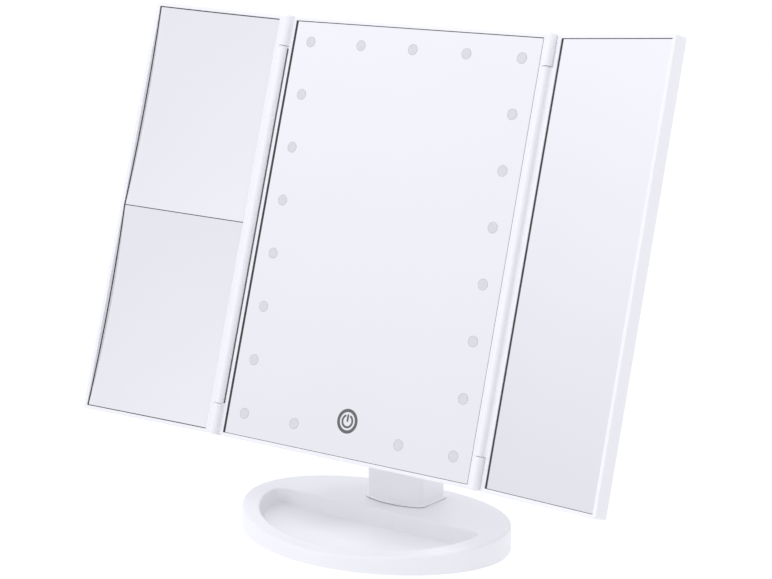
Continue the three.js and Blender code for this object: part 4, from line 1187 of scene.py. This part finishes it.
def add_head():
    piece(centre_frame(), "centre_rim", "head", "white_plastic", "centre_frame")
    xs, ys = (-GLASS_HALF_WIDTH, GLASS_HALF_WIDTH), (GLASS_BOTTOM, GLASS_TOP)
    below, above = END_GAPS["centre"]
    across = (xs[0] + SIDE_GAP, xs[1] - CENTRE_RIGHT_GAP)
    made = glass(across, (ys[0] + below, ys[1] - above), 0, GLASS_THICKNESS, at_head)
    piece(made, "centre_glass", "head", "mirror_glass", "centre_mirror", angle=GLASS_ANGLE)
    # The black lining stands for the glass's black edge and paints the shade in the gap round it.
    liner = edge_and_shade_liner(xs, ys, 0, CENTRE_EDGE_HIGH, lambda x, y: 0, at_head)
    piece(liner, "centre_glass_edge_and_shade", "head", "black_plastic", finish=edge_and_shade_black)
    piece(light_windows(), "light_windows", "head", "frosted_plastic")
    piece(light_outlines(), "light_outlines", "head", "frosted_plastic", finish=window_edge)
    piece(touch_symbol(), "touch_symbol", "head", "black_plastic", finish=print_grey)
    piece(rear_cover(), "back_shell", "head", "white_plastic", "rear_cover")
    can, tongue = charging_socket()
    piece(can, "socket_can", "head", "steel", "usb_socket")
    piece(tongue, "socket_tongue", "head", "black_plastic")
    for i, at in enumerate(COVER_SCREWS, 1):
        made = screw(at, HEAD_BACK + COVER_SCREW_SUNK, at_head, COVER_SCREW_LENGTH, -1)
        piece(made, f"back_screw_{i}", "head", "steel", f"cover_screw_{i}")
    for i in range(1, 5):
        jacket, ends = dry_cell(i)
        piece(jacket, f"cell_jacket_{i}", "head", "cell_jacket", f"battery_{i}")
        piece(ends, f"cell_ends_{i}", "head", "contact_metal")
    piece(battery_door(), "door_panel", "battery_door", "white_plastic", "battery_door")
    piece(switch_knob(), "switch_slider", "switch_knob", "black_plastic", "switch_knob")


# ---------------------------------------------------------------- wings


def barrel_outline():
    """A hinge barrel's section, with a root in the frame."""
    points, reach = filleted(BARREL_RADIUS, BARREL_FILLET, WING_RIM, 8)
    points += [(x, -BARREL_RADIUS) for x in BARREL_ROOT]
    return points + [(x, WING_RIM - 0.04) for x in (BARREL_ROOT[1], reach)]


def ear_clearances(place):
    """Cutters that clear a wing's corners for the two hinge ears."""
    wide, deep = (-OVERCUT, EAR_RADIUS + EAR_PLAY), (-CUTTER_REACH, 2 * OVERCUT)
    spans = ((TOP_SPLIT - GAP, HEAD_HIGH + OVERCUT), (HEAD_LOW - OVERCUT, BOTTOM_SPLIT + GAP))
    return [block(wide, span, deep, place) for span in spans]


def wing_frame(place, shelf):
    outer = ((0, WING_END), (HEAD_LOW, HEAD_HIGH))
    inner = ((WING_GLASS_START - EDGE_SKIN, WING_GLASS_END + EDGE_SKIN),
             (GLASS_BOTTOM - EDGE_SKIN, GLASS_TOP + EDGE_SKIN))
    back = WING_BACK + WING_COVER
    ring = frame_ring(outer, inner, back, WING_RIM, WING_GLASS - shelf, WING_SHELF_IN, place)
    barrel = prism(anticlockwise(barrel_outline()), (BOTTOM_SPLIT + GAP, TOP_SPLIT - GAP), place)
    return joined(cut(ring, *ear_clearances(place)), barrel)


def wing_cover(place):
    thick = (WING_BACK, WING_BACK + WING_COVER)
    plate = slab((0, WING_END), (HEAD_LOW, HEAD_HIGH), thick, CORNER, place, round_low=COVER_ROUND)
    return cut(plate, *ear_clearances(place))


def channel_shade_strip(place):
    """A dark strip of painted shade on the wing's side wall, down in the channel beside the centre frame."""
    tall = shrunk((BOTTOM_SPLIT + GAP, TOP_SPLIT - GAP), 0.1)
    return block(CHANNEL_SHADE_STRIP, tall, (WING_BACK + 2, CHANNEL_SHADE_STRIP_TOP), place)


def add_wing(side, name, shelf, glasses):
    """A wing whose glasses are given from the lowest up, as (node, height span, radius)."""
    place = at_wing(side)
    body = f"{name}_wing"
    xs, ys = (WING_GLASS_START, WING_GLASS_END), (GLASS_BOTTOM, GLASS_TOP)

    def depth(x, y):
        """How far the glass at a point lies below the plane of its corners."""
        for _, span, radius in glasses:
            if y <= span[1] + SPLIT_GAP:
                return hollow(x, min(max(y, span[0]), span[1]), xs, span, radius)
        return 0.0

    # A dark strip paints the shade down in the hinge channel.
    piece(channel_shade_strip(place), f"{name}_channel_shade_strip", body, "black_plastic", finish=edge_and_shade_black)
    piece(wing_frame(place, shelf), f"{name}_rim", body, "white_plastic", f"{name}_wing_frame")
    piece(wing_cover(place), f"{name}_back", body, "white_plastic", f"{name}_wing_cover")
    # The black lining stands for the glasses' black edges and paints the shade in the gap round them.
    liner = edge_and_shade_liner(xs, ys, WING_GLASS, WING_EDGE_HIGH, depth, place)
    piece(liner, f"{name}_glass_edge_and_shade", body, "black_plastic", finish=edge_and_shade_black)
    below, above = END_GAPS[name]
    for node, span, radius in glasses:
        low = span[0] + (below if span[0] == GLASS_BOTTOM else 0)
        high = span[1] - (above if span[1] == GLASS_TOP else 0)
        thickness = BENT_THICKNESS if radius else GLASS_THICKNESS
        made = glass(shrunk(xs, SIDE_GAP), (low, high), WING_GLASS, thickness, place, radius)
        piece(made, f"{node}_face", body, "mirror_glass", node, angle=GLASS_ANGLE)
    if len(glasses) > 1:
        filler = split_filler(depth, place)
        piece(filler, f"{name}_split_filler", body, "black_plastic", finish=edge_and_shade_black)


def add_carried_over():
    """CAD nodes whose shape is right get the material of their slot."""
    for part in frame["record"]["subparts"]:
        node = frame["nodes"][part["node"]]
        if node.hide_render:
            continue
        if not node.data.materials:
            node.data.materials.append(None)
        for place in node.material_slots:
            place.material = BY_SLOT[part["material_slot"]]


bpy.context.scene.view_settings.view_transform = "Standard"
add_camera()
add_world()
for lamp_name, lamp_settings in LAMPS.items():
    add_light(lamp_name, *lamp_settings)
add_floor()
add_base()
add_head()
add_wing(-1, "left", BENT_SHELF, [
    ("left_lower_mirror", (GLASS_BOTTOM, GLASS_SPLIT - SPLIT_GAP), LOWER_RADIUS),
    ("left_upper_mirror", (GLASS_SPLIT + SPLIT_GAP, GLASS_TOP), UPPER_RADIUS),
])
add_wing(1, "right", GLASS_THICKNESS + GAP, [("right_mirror", (GLASS_BOTTOM, GLASS_TOP), 0)])
add_carried_over()
